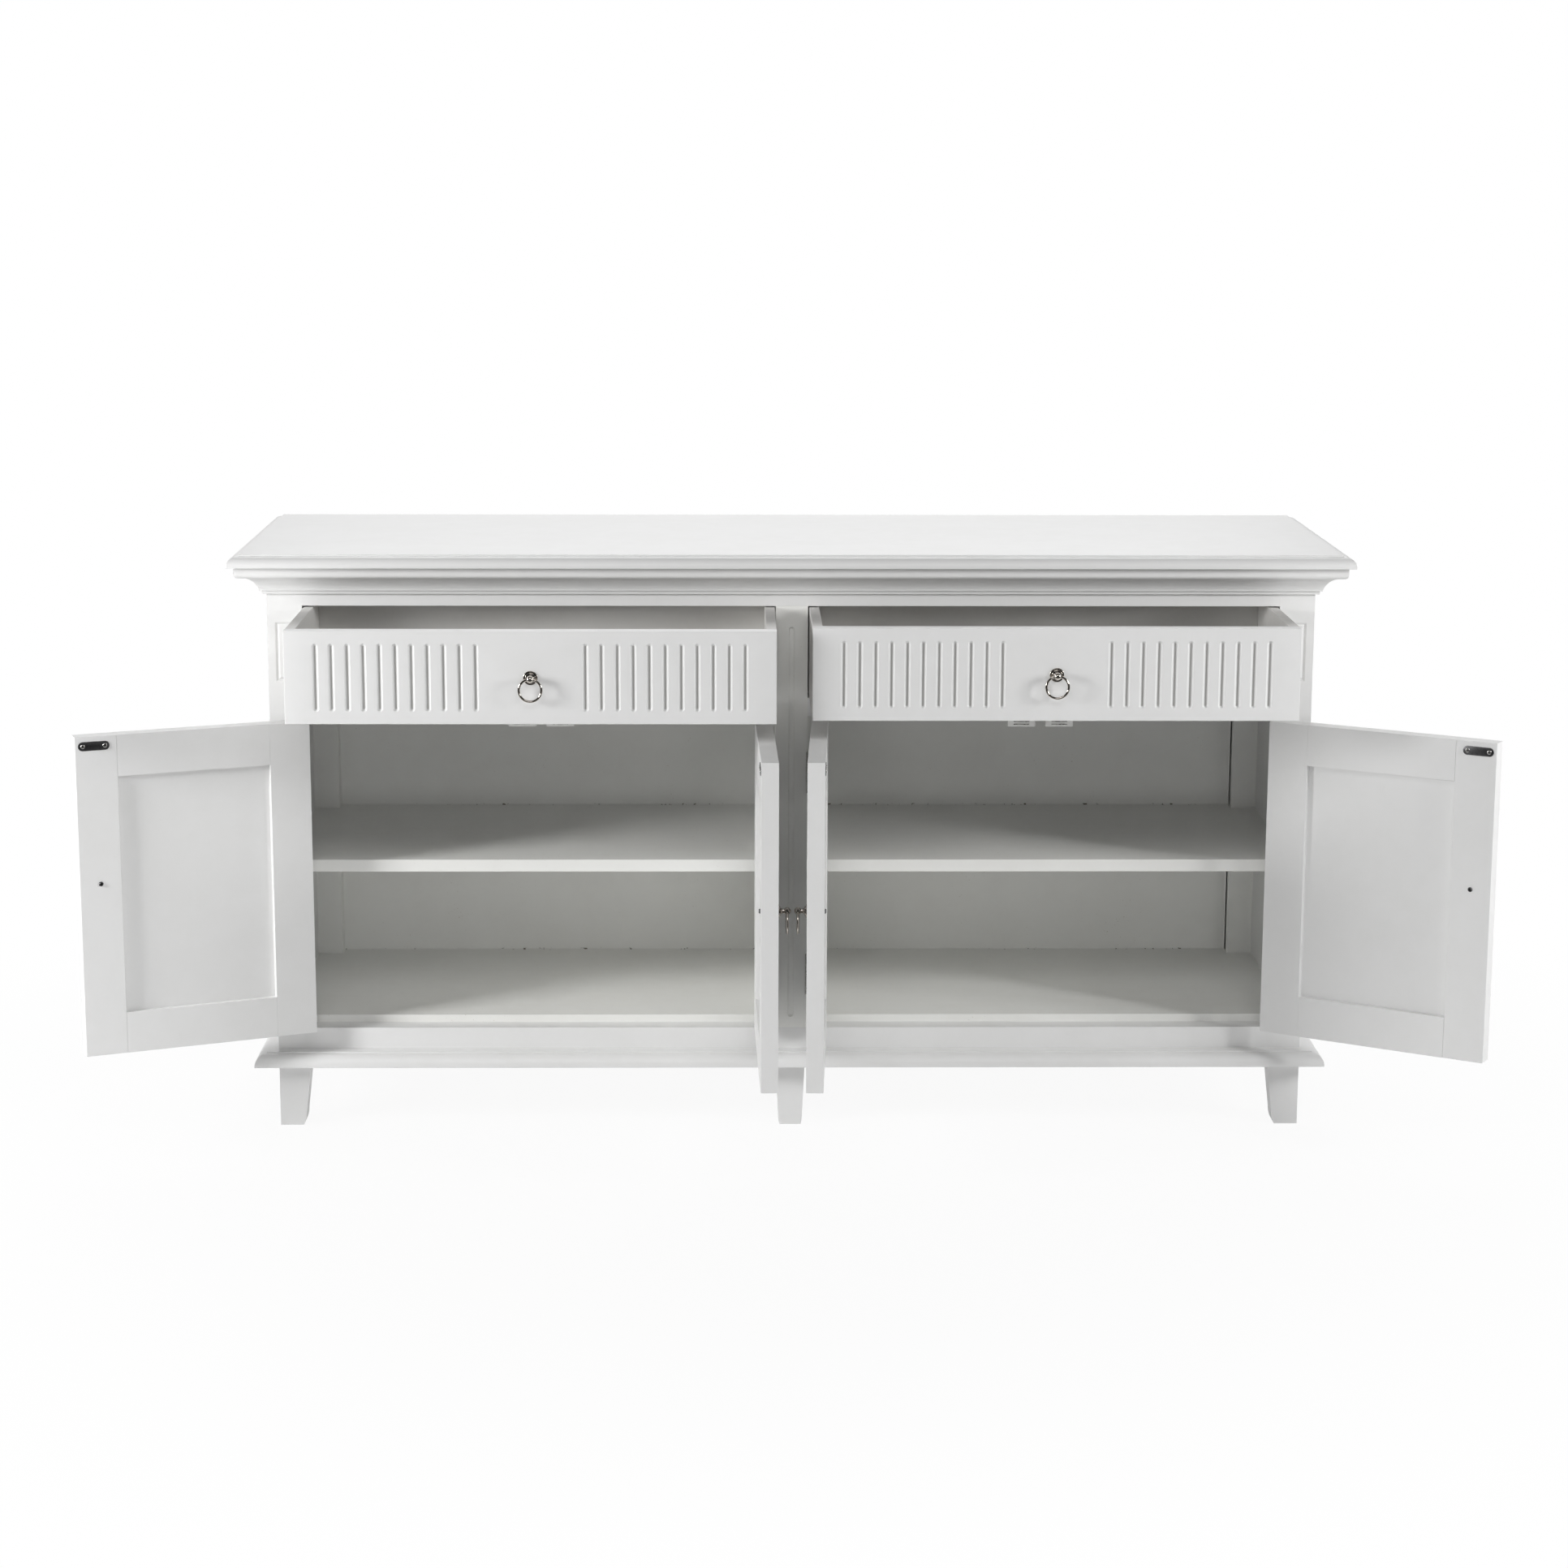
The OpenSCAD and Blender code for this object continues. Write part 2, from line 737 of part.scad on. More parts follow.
// Outline of a board that fills the right-hand bay and is notched around the posts
module bay_board(inner_x, front) {
    outer_x = panel_in_x - board_gap;
    notch_in = open_in + board_gap;
    notch_out = open_out - board_gap;
    notch_front = post_d + board_gap;
    notch_back = back_post_y - board_gap;
    difference() {
        translate([inner_x, front]) square([outer_x - inner_x, back_panel_y - board_gap - front]);
        for (y = [notch_front - 2 * post_d, notch_back]) {
            translate([notch_in - body_w, y]) square([body_w, 2 * post_d]);
            translate([notch_out, y]) square([body_w, 2 * post_d]);
        }
    }
}

module floor_boards() {
    color(inside_paint)
        translate([0, front_y, door_open_z])
            both_sides() linear_extrude(floor_t) bay_board(board_gap / 2, floor_set_back);
}

module shelves() {
    color(inside_paint)
        translate([0, front_y, shelf_z - shelf_t])
            both_sides() linear_extrude(shelf_t) bay_board(partition_x + board_gap, shelf_set_back);
}

module shelf_cleats() {
    color(inside_paint)
        translate([0, front_y + cleat_set_back, shelf_z - shelf_t - cleat_h])
            both_sides()
                for (x = [partition_x, panel_in_x - cleat_w])
                    translate([x, 0, 0]) cube([cleat_w, back_post_y - post_d - cleat_set_back, cleat_h]);
}

// Runner under one side of a drawer, with its guide, end stop and the kicker above it.
// wall is the face that carries it, edge the drawer's side and way the direction from wall to drawer
module runner(wall, edge, way) {
    drawer_under = drawer_z - runner_play;
    guide_w = way * (edge - wall) - guide_play;
    long = back_post_y - drawer_rail_d;
    kicker_z = top_rail_z;
    translate([wall, 0, 0])
        mirror([way < 0 ? 1 : 0, 0, 0]) {
            translate([0, drawer_rail_d, drawer_under - runner_h]) cube([guide_w + runner_w, long, runner_h]);
            translate([0, drawer_rail_d, drawer_under - over]) cube([guide_w, long, guide_h + over]);
            translate([0, drawer_l + runner_play, drawer_under - over])
                cube([guide_w + drawer_side_t, runner_w, guide_h + over]);
            translate([0, post_d, kicker_z])
                cube([guide_w + runner_w, back_post_y - post_d, runner_h]);
        }
}

module drawer_runners() {
    rail_in_x = body_w / 2 - side_rail_t;
    color(inside_paint)
        translate([0, front_y, 0])
            both_sides() {
                runner(partition_x, open_in + drawer_gap, 1);
                difference() {
                    runner(panel_in_x, open_out - drawer_gap, -1);
                    translate([rail_in_x, 0, top_rail_z - over])
                        cube([side_rail_t, body_d, top_rail_h + 2 * over]);
                }
            }
}

module magnet_catches() {
    catch_y = door_t + strike_t + catch_gap;
    outer_x = -open_out + door_gap + strike_x;
    inner_x = -open_in - door_gap - strike_x;
    color(nickel)
        translate([0, front_y, 0])
            both_sides()
                for (x = [outer_x, inner_x])
                    translate([x - catch_l / 2, catch_y, drawer_rail_z - catch_h])
                        cube([catch_l, catch_d, catch_h]);
}

// Moves a door from its own frame, with its hinge edge at x = 0 and its face at y = 0, to its place
module hung(door) {
    translate([door[0] - door_gap / 2, front_y - pin_out, door_z])
        rotate([0, 0, -door[1]])
            translate([door_gap / 2, pin_out, 0]) children();
}

module placed_door(door) {
    if (door[2]) mirror([1, 0, 0]) hung(door) children();
    else hung(door) children();
}

// Butt hinge in the door's frame: its foot on the door edge and three knuckles on the pin
knuckle_h = (leaf_h - 2 * knuckle_gap) / 3;
hinge_rows = [hinge_inset, door_h - hinge_inset - leaf_h];

module knuckle_zone(from, to, radius) {
    translate([-door_gap / 2, -pin_out, from]) cylinder(r = radius, h = to - from);
}

module hinge_bore() {
    knuckle_zone(-over, leaf_h + over, pin_r + pin_fit);
}

module leaf_plate(x) {
    translate([x, -pin_out, 0]) cube([leaf_t, pin_out + leaf_reach, leaf_h]);
}

module door_leaf() {
    clear_r = knuckle_r + knuckle_gap;
    mid_low = knuckle_h + knuckle_gap;
    mid_high = mid_low + knuckle_h;
    difference() {
        union() {
            difference() {
                leaf_plate(-leaf_t);
                knuckle_zone(-over, mid_low, clear_r);
                knuckle_zone(mid_high, leaf_h + over, clear_r);
            }
            knuckle_zone(mid_low, mid_high, knuckle_r);
        }
        hinge_bore();
    }
}

module post_leaf() {
    clear_r = knuckle_r + knuckle_gap;
    mid_low = knuckle_h;
    mid_high = leaf_h - knuckle_h;
    difference() {
        union() {
            difference() {
                leaf_plate(-door_gap);
                knuckle_zone(mid_low, mid_high, clear_r);
            }
            knuckle_zone(0, mid_low, knuckle_r);
            knuckle_zone(mid_high, leaf_h, knuckle_r);
        }
        hinge_bore();
    }
}

module pin_with_head() {
    dome_r = knuckle_r + pin_dome;
    knuckle_zone(0, leaf_h + over / 2, pin_r);
    intersection() {
        translate([-door_gap / 2, -pin_out, leaf_h - dome_r / 2]) sphere(dome_r);
        knuckle_zone(leaf_h, leaf_h + dome_r, knuckle_r);
    }
}

// Repeats a fixed hinge part at both hinges of all four doors
module at_all_hinges() {
    both_sides()
        for (x = left_hand, z = hinge_rows)
            translate([x, front_y, door_z + z]) children();
}

module fixed_hinge_leaves() {
    color(nickel) at_all_hinges() post_leaf();
}

module hinge_pins() {
    color(nickel) at_all_hinges() pin_with_head();
}

// Parts of one door

module door_groove(x) {
    translate([x, door_panel_y - joint_gap, -over])
        cube([groove_d + over, door_panel_t + 2 * joint_gap, door_h + 2 * over]);
}

module pull_hole(thick) {
    translate([0, thick + over, 0]) rotate([90, 0, 0]) cylinder(r = bolt_r + bolt_fit, h = thick + 2 * over);
}

// Place of the pull on a door
module at_door_pull() {
    translate([door_w - door_frame_w / 2, 0, door_pull_z]) children();
}

module at_strike_screws() {
    for (side = [-1, 1])
        translate([strike_x + side * strike_screws / 2, door_t, strike_z]) children();
}

module door_stiles(door) {
    color(paint)
        placed_door(door)
            difference() {
                for (x = [0, door_w - door_frame_w])
                    translate([x, 0, 0]) cube([door_frame_w, door_t, door_h]);
                door_groove(door_frame_w - groove_d);
                door_groove(door_w - door_frame_w - over);
                at_door_pull() pull_hole(door_t);
                at_strike_screws()
                    translate([0, over, 0])
                        rotate([90, 0, 0])
                            cylinder(r = plate_screw_r + joint_gap, h = plate_screw_l + 2 * over);
            }
}

module door_rails(door) {
    hold = groove_d - joint_gap;
    span = door_w - 2 * door_frame_w;
    color(paint)
        placed_door(door)
            difference() {
                for (z = [0, door_h - door_frame_w]) {
                    translate([door_frame_w, 0, z]) cube([span, door_t, door_frame_w]);
                    translate([door_frame_w - hold, door_panel_y, z])
                        cube([span + 2 * hold, door_panel_t, door_frame_w]);
                }
                translate([0, door_panel_y - joint_gap, door_frame_w - groove_d])
                    cube([door_w, door_panel_t + 2 * joint_gap, door_h - 2 * (door_frame_w - groove_d)]);
            }
}

module door_panel(door) {
    inset = door_frame_w - groove_d + joint_gap;
    color(paint)
        placed_door(door)
            translate([inset, door_panel_y, inset])
                cube([door_w - 2 * inset, door_panel_t, door_h - 2 * inset]);
}

// A flat plate with round ends and the two screws that hold it
module strike_plate(door) {
    end_r = strike_w / 2;
    straight = strike_l - strike_w;
    head_r = 2 * plate_screw_r;
    color(dark_steel)
        placed_door(door) {
            difference() {
                translate([strike_x, door_t + strike_t, strike_z])
                    rotate([90, 0, 0])
                        linear_extrude(strike_t) {
                            translate([-straight / 2, -end_r]) square([straight, strike_w]);
                            translate([-straight / 2, 0]) circle(end_r);
                            translate([straight / 2, 0]) circle(end_r);
                        }
                at_strike_screws()
                    translate([0, strike_t + over, 0])
                        rotate([90, 0, 0]) cylinder(r = plate_screw_r + joint_gap, h = strike_t + 2 * over);
            }
            at_strike_screws()
                translate([0, strike_t, 0])
                    rotate([90, 0, 0]) {
                        cylinder(r = plate_screw_r, h = plate_screw_l);
                        translate([0, 0, -plate_screw_head_h]) cylinder(r = head_r, h = plate_screw_head_h);
                    }
        }
}

module door_hinge_leaves(door) {
    color(nickel)
        placed_door(door)
            for (z = hinge_rows)
                translate([0, 0, z]) door_leaf();
}

// Ring pull on a board of the given thickness. The face is at y = 0 and the ball hangs in front

module pull_mount(thick) {
    step_r = rosette_r - rosette_step;
    round_z = rosette_rim + rosette_round;
    rotate([90, 0, 0])
        difference() {
            union() {
                rotate_extrude()
                    polygon([[0, 0], [rosette_r, 0], [rosette_r, rosette_rim],
                             [rosette_r - rosette_round, round_z], [step_r, round_z],
                             [step_r - boss_draw, rosette_t], [neck_r + neck_cone_w, rosette_t + neck_fall],
                             [neck_r, rosette_t + neck_cone_h], [neck_r, pull_out], [0, pull_out]]);
                translate([0, 0, pull_out]) sphere(ball_r);
            }
            translate([0, 0, -over]) cylinder(r = bolt_r + pin_fit, h = bolt_depth + joint_gap + over);
            translate([-ball_r - over, 0, pull_out])
                rotate([0, 90, 0]) cylinder(r = eye_r, h = 2 * (ball_r + over));
        }
    // The bolt comes through the board from its back and has a slotted round head
    difference() {
        union() {
            translate([0, thick + over, 0])
                rotate([90, 0, 0]) cylinder(r = bolt_r, h = thick + bolt_depth + over);
            translate([0, thick + bolt_head_h, 0])
                rotate([90, 0, 0]) cylinder(r = bolt_head_r, h = bolt_head_h);
        }
        translate([-bolt_head_r - over, thick + bolt_head_h / 2, -bolt_slot_w / 2])
            cube([2 * (bolt_head_r + over), bolt_head_h, bolt_slot_w]);
    }
}

// The ring hangs from the eye, its plane parallel to the face
module hanging_ring() {
    translate([0, -pull_out, -ring_r])
        rotate([90, 0, 0])
            rotate_extrude() translate([ring_r, 0]) circle(rod_r);
}

module door_pull_mount(door) {
    color(nickel) placed_door(door) at_door_pull() pull_mount(door_t);
}

module door_ring(door) {
    color(nickel) placed_door(door) at_door_pull() hanging_ring();
}

// Drawers, each in its own frame with its lower left front corner at the origin

module placed_drawer(drawer) {
    translate([drawer[0], front_y - drawer[1], drawer_z]) children();
}

module at_drawer_pull() {
    translate([drawer_w / 2, 0, drawer_h / 2]) children();
}

// Tails of the lapped dovetails on the front end of the left-hand drawer side
module dovetail_row(grow) {
    step = drawer_h / dovetails;
    root = step * tail_root / 2;
    tip = step * tail_tip / 2;
    translate([-over, 0, 0])
        rotate([90, 0, 90])
            linear_extrude(drawer_side_t + over + grow)
                for (i = [0:dovetails - 1])
                    translate([0, step * (i + 0.5)])
                        polygon([[dovetail_lap - grow, -tip - grow], [dovetail_lap - grow, tip + grow],
                                 [drawer_front_t + over, root + grow],
                                 [drawer_front_t + over, -root - grow]]);
}

module at_drawer_ends() {
    children();
    translate([drawer_w, 0, 0]) mirror([1, 0, 0]) children();
}

module drawer_front(drawer) {
    groove_y = drawer_front_t - drawer_groove_d;
    group = (flutes - 1) * flute_pitch;
    color(paint)
        placed_drawer(drawer)
            difference() {
                cube([drawer_w, drawer_front_t, drawer_h]);
                for (start = [flute_end, drawer_w - flute_end - group], i = [0:flutes - 1])
                    translate([start + i * flute_pitch, 0, 0]) flute(flute_margin, drawer_h - flute_margin);
                at_drawer_ends() dovetail_row(joint_gap);
                translate([drawer_side_t - drawer_groove_d, groove_y, drawer_bottom_z - joint_gap])
                    cube([drawer_w - 2 * (drawer_side_t - drawer_groove_d), drawer_groove_d + over,
                          drawer_bottom_t + 2 * joint_gap]);
                at_drawer_pull() pull_hole(drawer_front_t);
            }
}

module drawer_sides(drawer) {
    color(inside_paint)
        placed_drawer(drawer)
            at_drawer_ends()
                difference() {
                    union() {
                        translate([0, drawer_front_t, 0])
                            cube([drawer_side_t, drawer_l - drawer_front_t, drawer_h]);
                        intersection() {
                            dovetail_row(0);
                            cube([drawer_side_t, drawer_l, drawer_h]);
                        }
                    }
                    translate([drawer_side_t - drawer_groove_d, -over, drawer_bottom_z - joint_gap])
                        cube([drawer_groove_d + over, drawer_l + 2 * over, drawer_bottom_t + 2 * joint_gap]);
                    translate([drawer_side_t - drawer_groove_d, drawer_l - drawer_back_t - joint_gap,
                               drawer_bottom_z + drawer_bottom_t])
                        cube([drawer_groove_d + over, drawer_back_t + over + joint_gap, drawer_h]);
                }
}

module drawer_back(drawer) {
    inset = drawer_side_t - drawer_groove_d + joint_gap;
    low = drawer_bottom_z + drawer_bottom_t + joint_gap;
    color(inside_paint)
        placed_drawer(drawer)
            translate([inset, drawer_l - drawer_back_t, low])
                cube([drawer_w - 2 * inset, drawer_back_t, drawer_h - low]);
}

module drawer_bottom(drawer) {
    inset = drawer_side_t - drawer_groove_d + joint_gap;
    from_y = drawer_front_t - drawer_groove_d + joint_gap;
    color(inside_paint)
        placed_drawer(drawer)
            translate([inset, from_y, drawer_bottom_z])
                cube([drawer_w - 2 * inset, drawer_l - from_y, drawer_bottom_t]);
}

module drawer_pull_mount(drawer) {
    color(nickel) placed_drawer(drawer) at_drawer_pull() pull_mount(drawer_front_t);
}

module drawer_ring(drawer) {
    color(nickel) placed_drawer(drawer) at_drawer_pull() hanging_ring();
}

top_board();
cornice_moulding();
base_moulding();
front_posts();
centre_stile();
centre_foot();
front_rails();
drawer_rails();
back_posts();
side_panels();
carcass_rails();
back_panel();
partition();
floor_boards();
shelves();
shelf_cleats();
drawer_runners();
magnet_catches();
fixed_hinge_leaves();
hinge_pins();

door_stiles(outer_left);  // outer_door_left_stiles
door_rails(outer_left);  // outer_door_left_rails
door_panel(outer_left);  // outer_door_left_panel
strike_plate(outer_left);  // outer_door_left_strike_plate
door_hinge_leaves(outer_left);  // outer_door_left_hinge_leaves
door_pull_mount(outer_left);  // outer_door_left_pull_mount
door_ring(outer_left);  // outer_door_left_ring

door_stiles(outer_right);  // outer_door_right_stiles
door_rails(outer_right);  // outer_door_right_rails
door_panel(outer_right);  // outer_door_right_panel
strike_plate(outer_right);  // outer_door_right_strike_plate
door_hinge_leaves(outer_right);  // outer_door_right_hinge_leaves
door_pull_mount(outer_right);  // outer_door_right_pull_mount
door_ring(outer_right);  // outer_door_right_ring

door_stiles(inner_left);  // inner_door_left_stiles
door_rails(inner_left);  // inner_door_left_rails
door_panel(inner_left);  // inner_door_left_panel
strike_plate(inner_left);  // inner_door_left_strike_plate
door_hinge_leaves(inner_left);  // inner_door_left_hinge_leaves
door_pull_mount(inner_left);  // inner_door_left_pull_mount
door_ring(inner_left);  // inner_door_left_ring

door_stiles(inner_right);  // inner_door_right_stiles
door_rails(inner_right);  // inner_door_right_rails
door_panel(inner_right);  // inner_door_right_panel
strike_plate(inner_right);  // inner_door_right_strike_plate
door_hinge_leaves(inner_right);  // inner_door_right_hinge_leaves
door_pull_mount(inner_right);  // inner_door_right_pull_mount
door_ring(inner_right);  // inner_door_right_ring

drawer_front(left_drawer);  // drawer_left_front
drawer_sides(left_drawer);  // drawer_left_sides
drawer_back(left_drawer);  // drawer_left_back
drawer_bottom(left_drawer);  // drawer_left_bottom
drawer_pull_mount(left_drawer);  // drawer_left_pull_mount
drawer_ring(left_drawer);  // drawer_left_ring

drawer_front(right_drawer);  // drawer_right_front
drawer_sides(right_drawer);  // drawer_right_sides
drawer_back(right_drawer);  // drawer_right_back
drawer_bottom(right_drawer);  // drawer_right_bottom
drawer_pull_mount(right_drawer);  // drawer_right_pull_mount
drawer_ring(right_drawer);  // drawer_right_ring
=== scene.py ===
"""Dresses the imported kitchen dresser: eased painted timber, mouldings, fluted drawers and nickel ring pulls.

Every piece is built in metres in the frame's own coordinates, with its place in its mesh, and rides on the
body that carries it.
"""

import json
import logging
import math
import random
from dataclasses import dataclass, field, replace
from enum import Enum
from typing import Callable, Iterable, Sequence, Union

import bmesh
import bpy
from bmesh.types import BMesh, BMFace, BMVert
from mathutils import Matrix, Vector
from mathutils.bvhtree import BVHTree


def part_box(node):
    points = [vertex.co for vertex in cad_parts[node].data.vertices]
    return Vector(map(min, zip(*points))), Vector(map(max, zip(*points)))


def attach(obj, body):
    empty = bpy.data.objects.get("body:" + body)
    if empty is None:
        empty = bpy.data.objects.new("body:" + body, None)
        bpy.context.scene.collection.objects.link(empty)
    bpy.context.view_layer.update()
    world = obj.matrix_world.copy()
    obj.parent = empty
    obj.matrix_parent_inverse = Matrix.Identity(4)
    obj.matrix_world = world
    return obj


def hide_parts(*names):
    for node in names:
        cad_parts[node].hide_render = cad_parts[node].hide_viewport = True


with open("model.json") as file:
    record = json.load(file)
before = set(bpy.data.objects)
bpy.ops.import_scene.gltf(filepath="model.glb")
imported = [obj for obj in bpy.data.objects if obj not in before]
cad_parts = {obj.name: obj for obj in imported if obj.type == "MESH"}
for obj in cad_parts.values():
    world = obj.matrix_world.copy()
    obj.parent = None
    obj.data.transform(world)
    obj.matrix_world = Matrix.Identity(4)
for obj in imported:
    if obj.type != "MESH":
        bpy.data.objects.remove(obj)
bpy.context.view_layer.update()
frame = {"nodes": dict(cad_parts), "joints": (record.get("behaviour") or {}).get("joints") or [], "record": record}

log = logging.getLogger("dresser")
MM = 0.001
POLE = 1e-4 * MM
MERGE = 0.004 * MM
DOORS = ("outer_door_left", "outer_door_right", "inner_door_left", "inner_door_right")
DRAWERS = ("drawer_left", "drawer_right")
Number = Union[int, float]
Point2 = tuple[float, float]
Placer2 = Callable[[Point2], Vector]
Placer3 = Callable[[float, float, float], Vector]


# Node graphs

class Wire:
    """An output socket that takes part in arithmetic; each operator adds one Math node."""

    def __init__(self, graph: "Graph", socket: bpy.types.NodeSocket) -> None:
        """Keeps the graph and the socket."""
        self.graph = graph
        self.socket = socket

    def _math(self, operation: str, first: object, second: object = None) -> "Wire":
        """Adds a Math node.

        Args:
            operation: The node's operation.
            first: First operand, a number or a Wire.
            second: Second operand, if the operation has one.

        Returns:
            The result as a Wire.
        """
        values = {i: v for i, v in enumerate((first, second)) if v is not None}
        return self.graph.node("ShaderNodeMath", {"operation": operation}, values).out()

    def __add__(self, other: object) -> "Wire":
        """self + other."""
        return self._math("ADD", self, other)

    def __radd__(self, other: object) -> "Wire":
        """other + self."""
        return self._math("ADD", other, self)

    def __sub__(self, other: object) -> "Wire":
        """self - other."""
        return self._math("SUBTRACT", self, other)

    def __rsub__(self, other: object) -> "Wire":
        """other - self."""
        return self._math("SUBTRACT", other, self)

    def __mul__(self, other: object) -> "Wire":
        """self * other."""
        return self._math("MULTIPLY", self, other)

    def __rmul__(self, other: object) -> "Wire":
        """other * self."""
        return self._math("MULTIPLY", other, self)

    def __truediv__(self, other: object) -> "Wire":
        """self / other."""
        return self._math("DIVIDE", self, other)

    def __rtruediv__(self, other: object) -> "Wire":
        """other / self."""
        return self._math("DIVIDE", other, self)

    def lesser(self, other: object) -> "Wire":
        """The smaller of two values."""
        return self._math("MINIMUM", self, other)

    def greater(self, other: object) -> "Wire":
        """The larger of two values."""
        return self._math("MAXIMUM", self, other)

    def root(self) -> "Wire":
        """The square root of the value, with values below zero held at zero."""
        return self._math("SQRT", self.greater(0.0))

    def whole(self) -> "Wire":
        """The value rounded to the nearest whole number."""
        return self._math("ROUND", self)

    def size(self) -> "Wire":
        """The value without its sign."""
        return self._math("ABSOLUTE", self)

    def ramp(self, low: Number, high: Number) -> "Wire":
        """0 at low, 1 at high and smooth between them.

        Args:
            low: Where the ramp starts.
            high: Where it ends.

        Returns:
            The share as a Wire.
        """
        node = self.graph.node("ShaderNodeMapRange", {"interpolation_type": "SMOOTHSTEP"},
                               {"Value": self, "From Min": low, "From Max": high})
        return node.out("Result")


class Node:
    """A node that was added to a graph."""

    def __init__(self, graph: "Graph", node: bpy.types.Node) -> None:
        """Keeps the graph and the node."""
        self.graph = graph
        self.node = node

    def out(self, key: Union[str, int] = 0) -> Wire:
        """The output of that name, identifier or index, as a Wire."""
        return Wire(self.graph, find_socket(self.node.outputs, key))


def find_socket(sockets: bpy.types.bpy_prop_collection, key: Union[str, int]) -> bpy.types.NodeSocket:
    """Finds a socket.

    Args:
        sockets: A node's inputs or outputs.
        key: Index, identifier or name. Names are looked up among the enabled sockets.

    Returns:
        The socket.
    """
    if isinstance(key, int):
        return sockets[key]
    for socket in sockets:
        if socket.identifier == key and socket.enabled:
            return socket
    for socket in sockets:
        if socket.name == key and socket.enabled:
            return socket
    raise KeyError(key)


class Graph:
    """A node tree under construction."""

    def __init__(self, tree: bpy.types.NodeTree) -> None:
        """Keeps the tree."""
        self.tree = tree

    def node(self, kind: str, settings: dict[str, object] | None = None,
             inputs: dict[Union[str, int], object] | None = None) -> Node:
        """Adds a node, sets it up and connects it.

        Args:
            kind: The node's type name.
            settings: Properties that are set first.
            inputs: Values, Wires or Nodes for its sockets.

        Returns:
            The new node.
        """
        made = self.tree.nodes.new(kind)
        for name, value in (settings or {}).items():
            setattr(made, name, value)
        for key, value in (inputs or {}).items():
            socket = find_socket(made.inputs, key)
            if isinstance(value, Node):
                value = value.out()
            if isinstance(value, Wire):
                self.tree.links.new(value.socket, socket)
            else:
                socket.default_value = value
        return Node(self, made)


# Finishes

GRAIN_MAP = "grain"
GRAIN_SPREAD = 9
FLUTE_SHADE_MARK = "flute_bottom"


@dataclass(frozen=True)
class Paint:
    """Sprayed white paint on timber: soft mottling, raised grain under the film, a fine orange peel.

    The pattern follows the map "grain", whose first direction runs along the timber, in metres.
    """

    name: str
    colour: tuple[float, float, float]
    shade: tuple[float, float, float]
    rough: float = 0.42
    grain: float = 0.25
    peel: float = 0.12
    dust: float = 0.0
    # Strength of the painted shade in the bottoms of the flutes.
    flute_shade: float = 0.0
    seam_y: float = 0.0
    seam_heights: tuple[float, ...] = ()

    STRETCH = (5.0, 260.0, 1.0)
    DUST = (0.42, 0.36, 0.28)
    CRUMB = (0.10, 0.07, 0.045)
    # Colour of the painted shade in the flute bottoms.
    FLUTE_SHADE_COLOUR = (0.34, 0.33, 0.31)
    INDEX = 1.48
    RELIEF = 0.35 * MM

    def material(self) -> bpy.types.Material:
        """Builds the material.

        Returns:
            The material.
        """
        material, graph, shader = blank_material(self.name)
        uv = graph.node("ShaderNodeUVMap", {"uv_map": GRAIN_MAP}).out()
        place = graph.node("ShaderNodeTexCoord").out("Object")
        along = graph.node("ShaderNodeMapping", None, {"Vector": uv, "Scale": self.STRETCH}).out()
        fibre = noise(graph, along, scale=1.0, detail=4.0, rough=0.6)
        cloud = noise(graph, place, scale=7.0, detail=3.0, rough=0.55)
        peel = noise(graph, place, scale=900.0, detail=2.0, rough=0.5)
        smear = noise(graph, place, scale=38.0, detail=5.0, rough=0.6)
        tone = (0.62 * cloud + 0.38 * smear).ramp(0.38, 0.66)
        wash = blend_colour(graph, tone, self.colour, self.shade)
        if self.dust:
            specks = noise(graph, place, scale=420.0, detail=1.0, rough=0.4).ramp(0.72, 0.78)
            drift = noise(graph, place, scale=12.0, detail=2.0, rough=0.6).ramp(0.5, 0.7)
            wash = blend_colour(graph, specks * drift * self.dust, wash, self.DUST)
            wash = blend_colour(graph, self.crumbs(graph, place), wash, self.CRUMB)
        # Painted shade: the flute bottoms are darkened where the flute tree's mark lies.
        if self.flute_shade:
            mark = graph.node("ShaderNodeAttribute", {"attribute_name": FLUTE_SHADE_MARK}).out("Fac")
            wash = blend_colour(graph, mark * self.flute_shade, wash, self.FLUTE_SHADE_COLOUR)
        link(graph, shader, "Base Color", wash)
        link(graph, shader, "Roughness", self.rough + 0.16 * (smear - 0.5) + 0.05 * (fibre - 0.5))
        relief = self.grain * fibre + self.peel * peel + 0.25 * cloud
        raise_surface(graph, shader, 0.35, self.RELIEF, relief)
        shader.node.inputs["IOR"].default_value = self.INDEX
        return material

    def crumbs(self, graph: Graph, place: Wire) -> Wire:
        """Where dark crumbs lie: here and there along the back seams of the boards.

        Args:
            graph: The material's graph.
            place: Object coordinates.

        Returns:
            1 on a crumb and 0 elsewhere.
        """
        split = graph.node("ShaderNodeSeparateXYZ", None, {0: place})
        y, z = split.out(1), split.out(2)
        away = (z - self.seam_heights[0]).size()
        for height in self.seam_heights[1:]:
            away = away.lesser((z - height).size())
        before = y.ramp(self.seam_y - 7 * MM, self.seam_y - 4 * MM)
        behind = y.ramp(self.seam_y + 1 * MM, self.seam_y + 2 * MM)
        seam = before * (1.0 - behind) * (1.0 - away.ramp(1.0 * MM, 2.5 * MM))
        spots = noise(graph, place, scale=170.0, detail=1.0, rough=0.5).ramp(0.66, 0.70)
        gathered = noise(graph, place, scale=6.0, detail=2.0, rough=0.5).ramp(0.42, 0.52)
        return seam * spots * gathered * 0.9


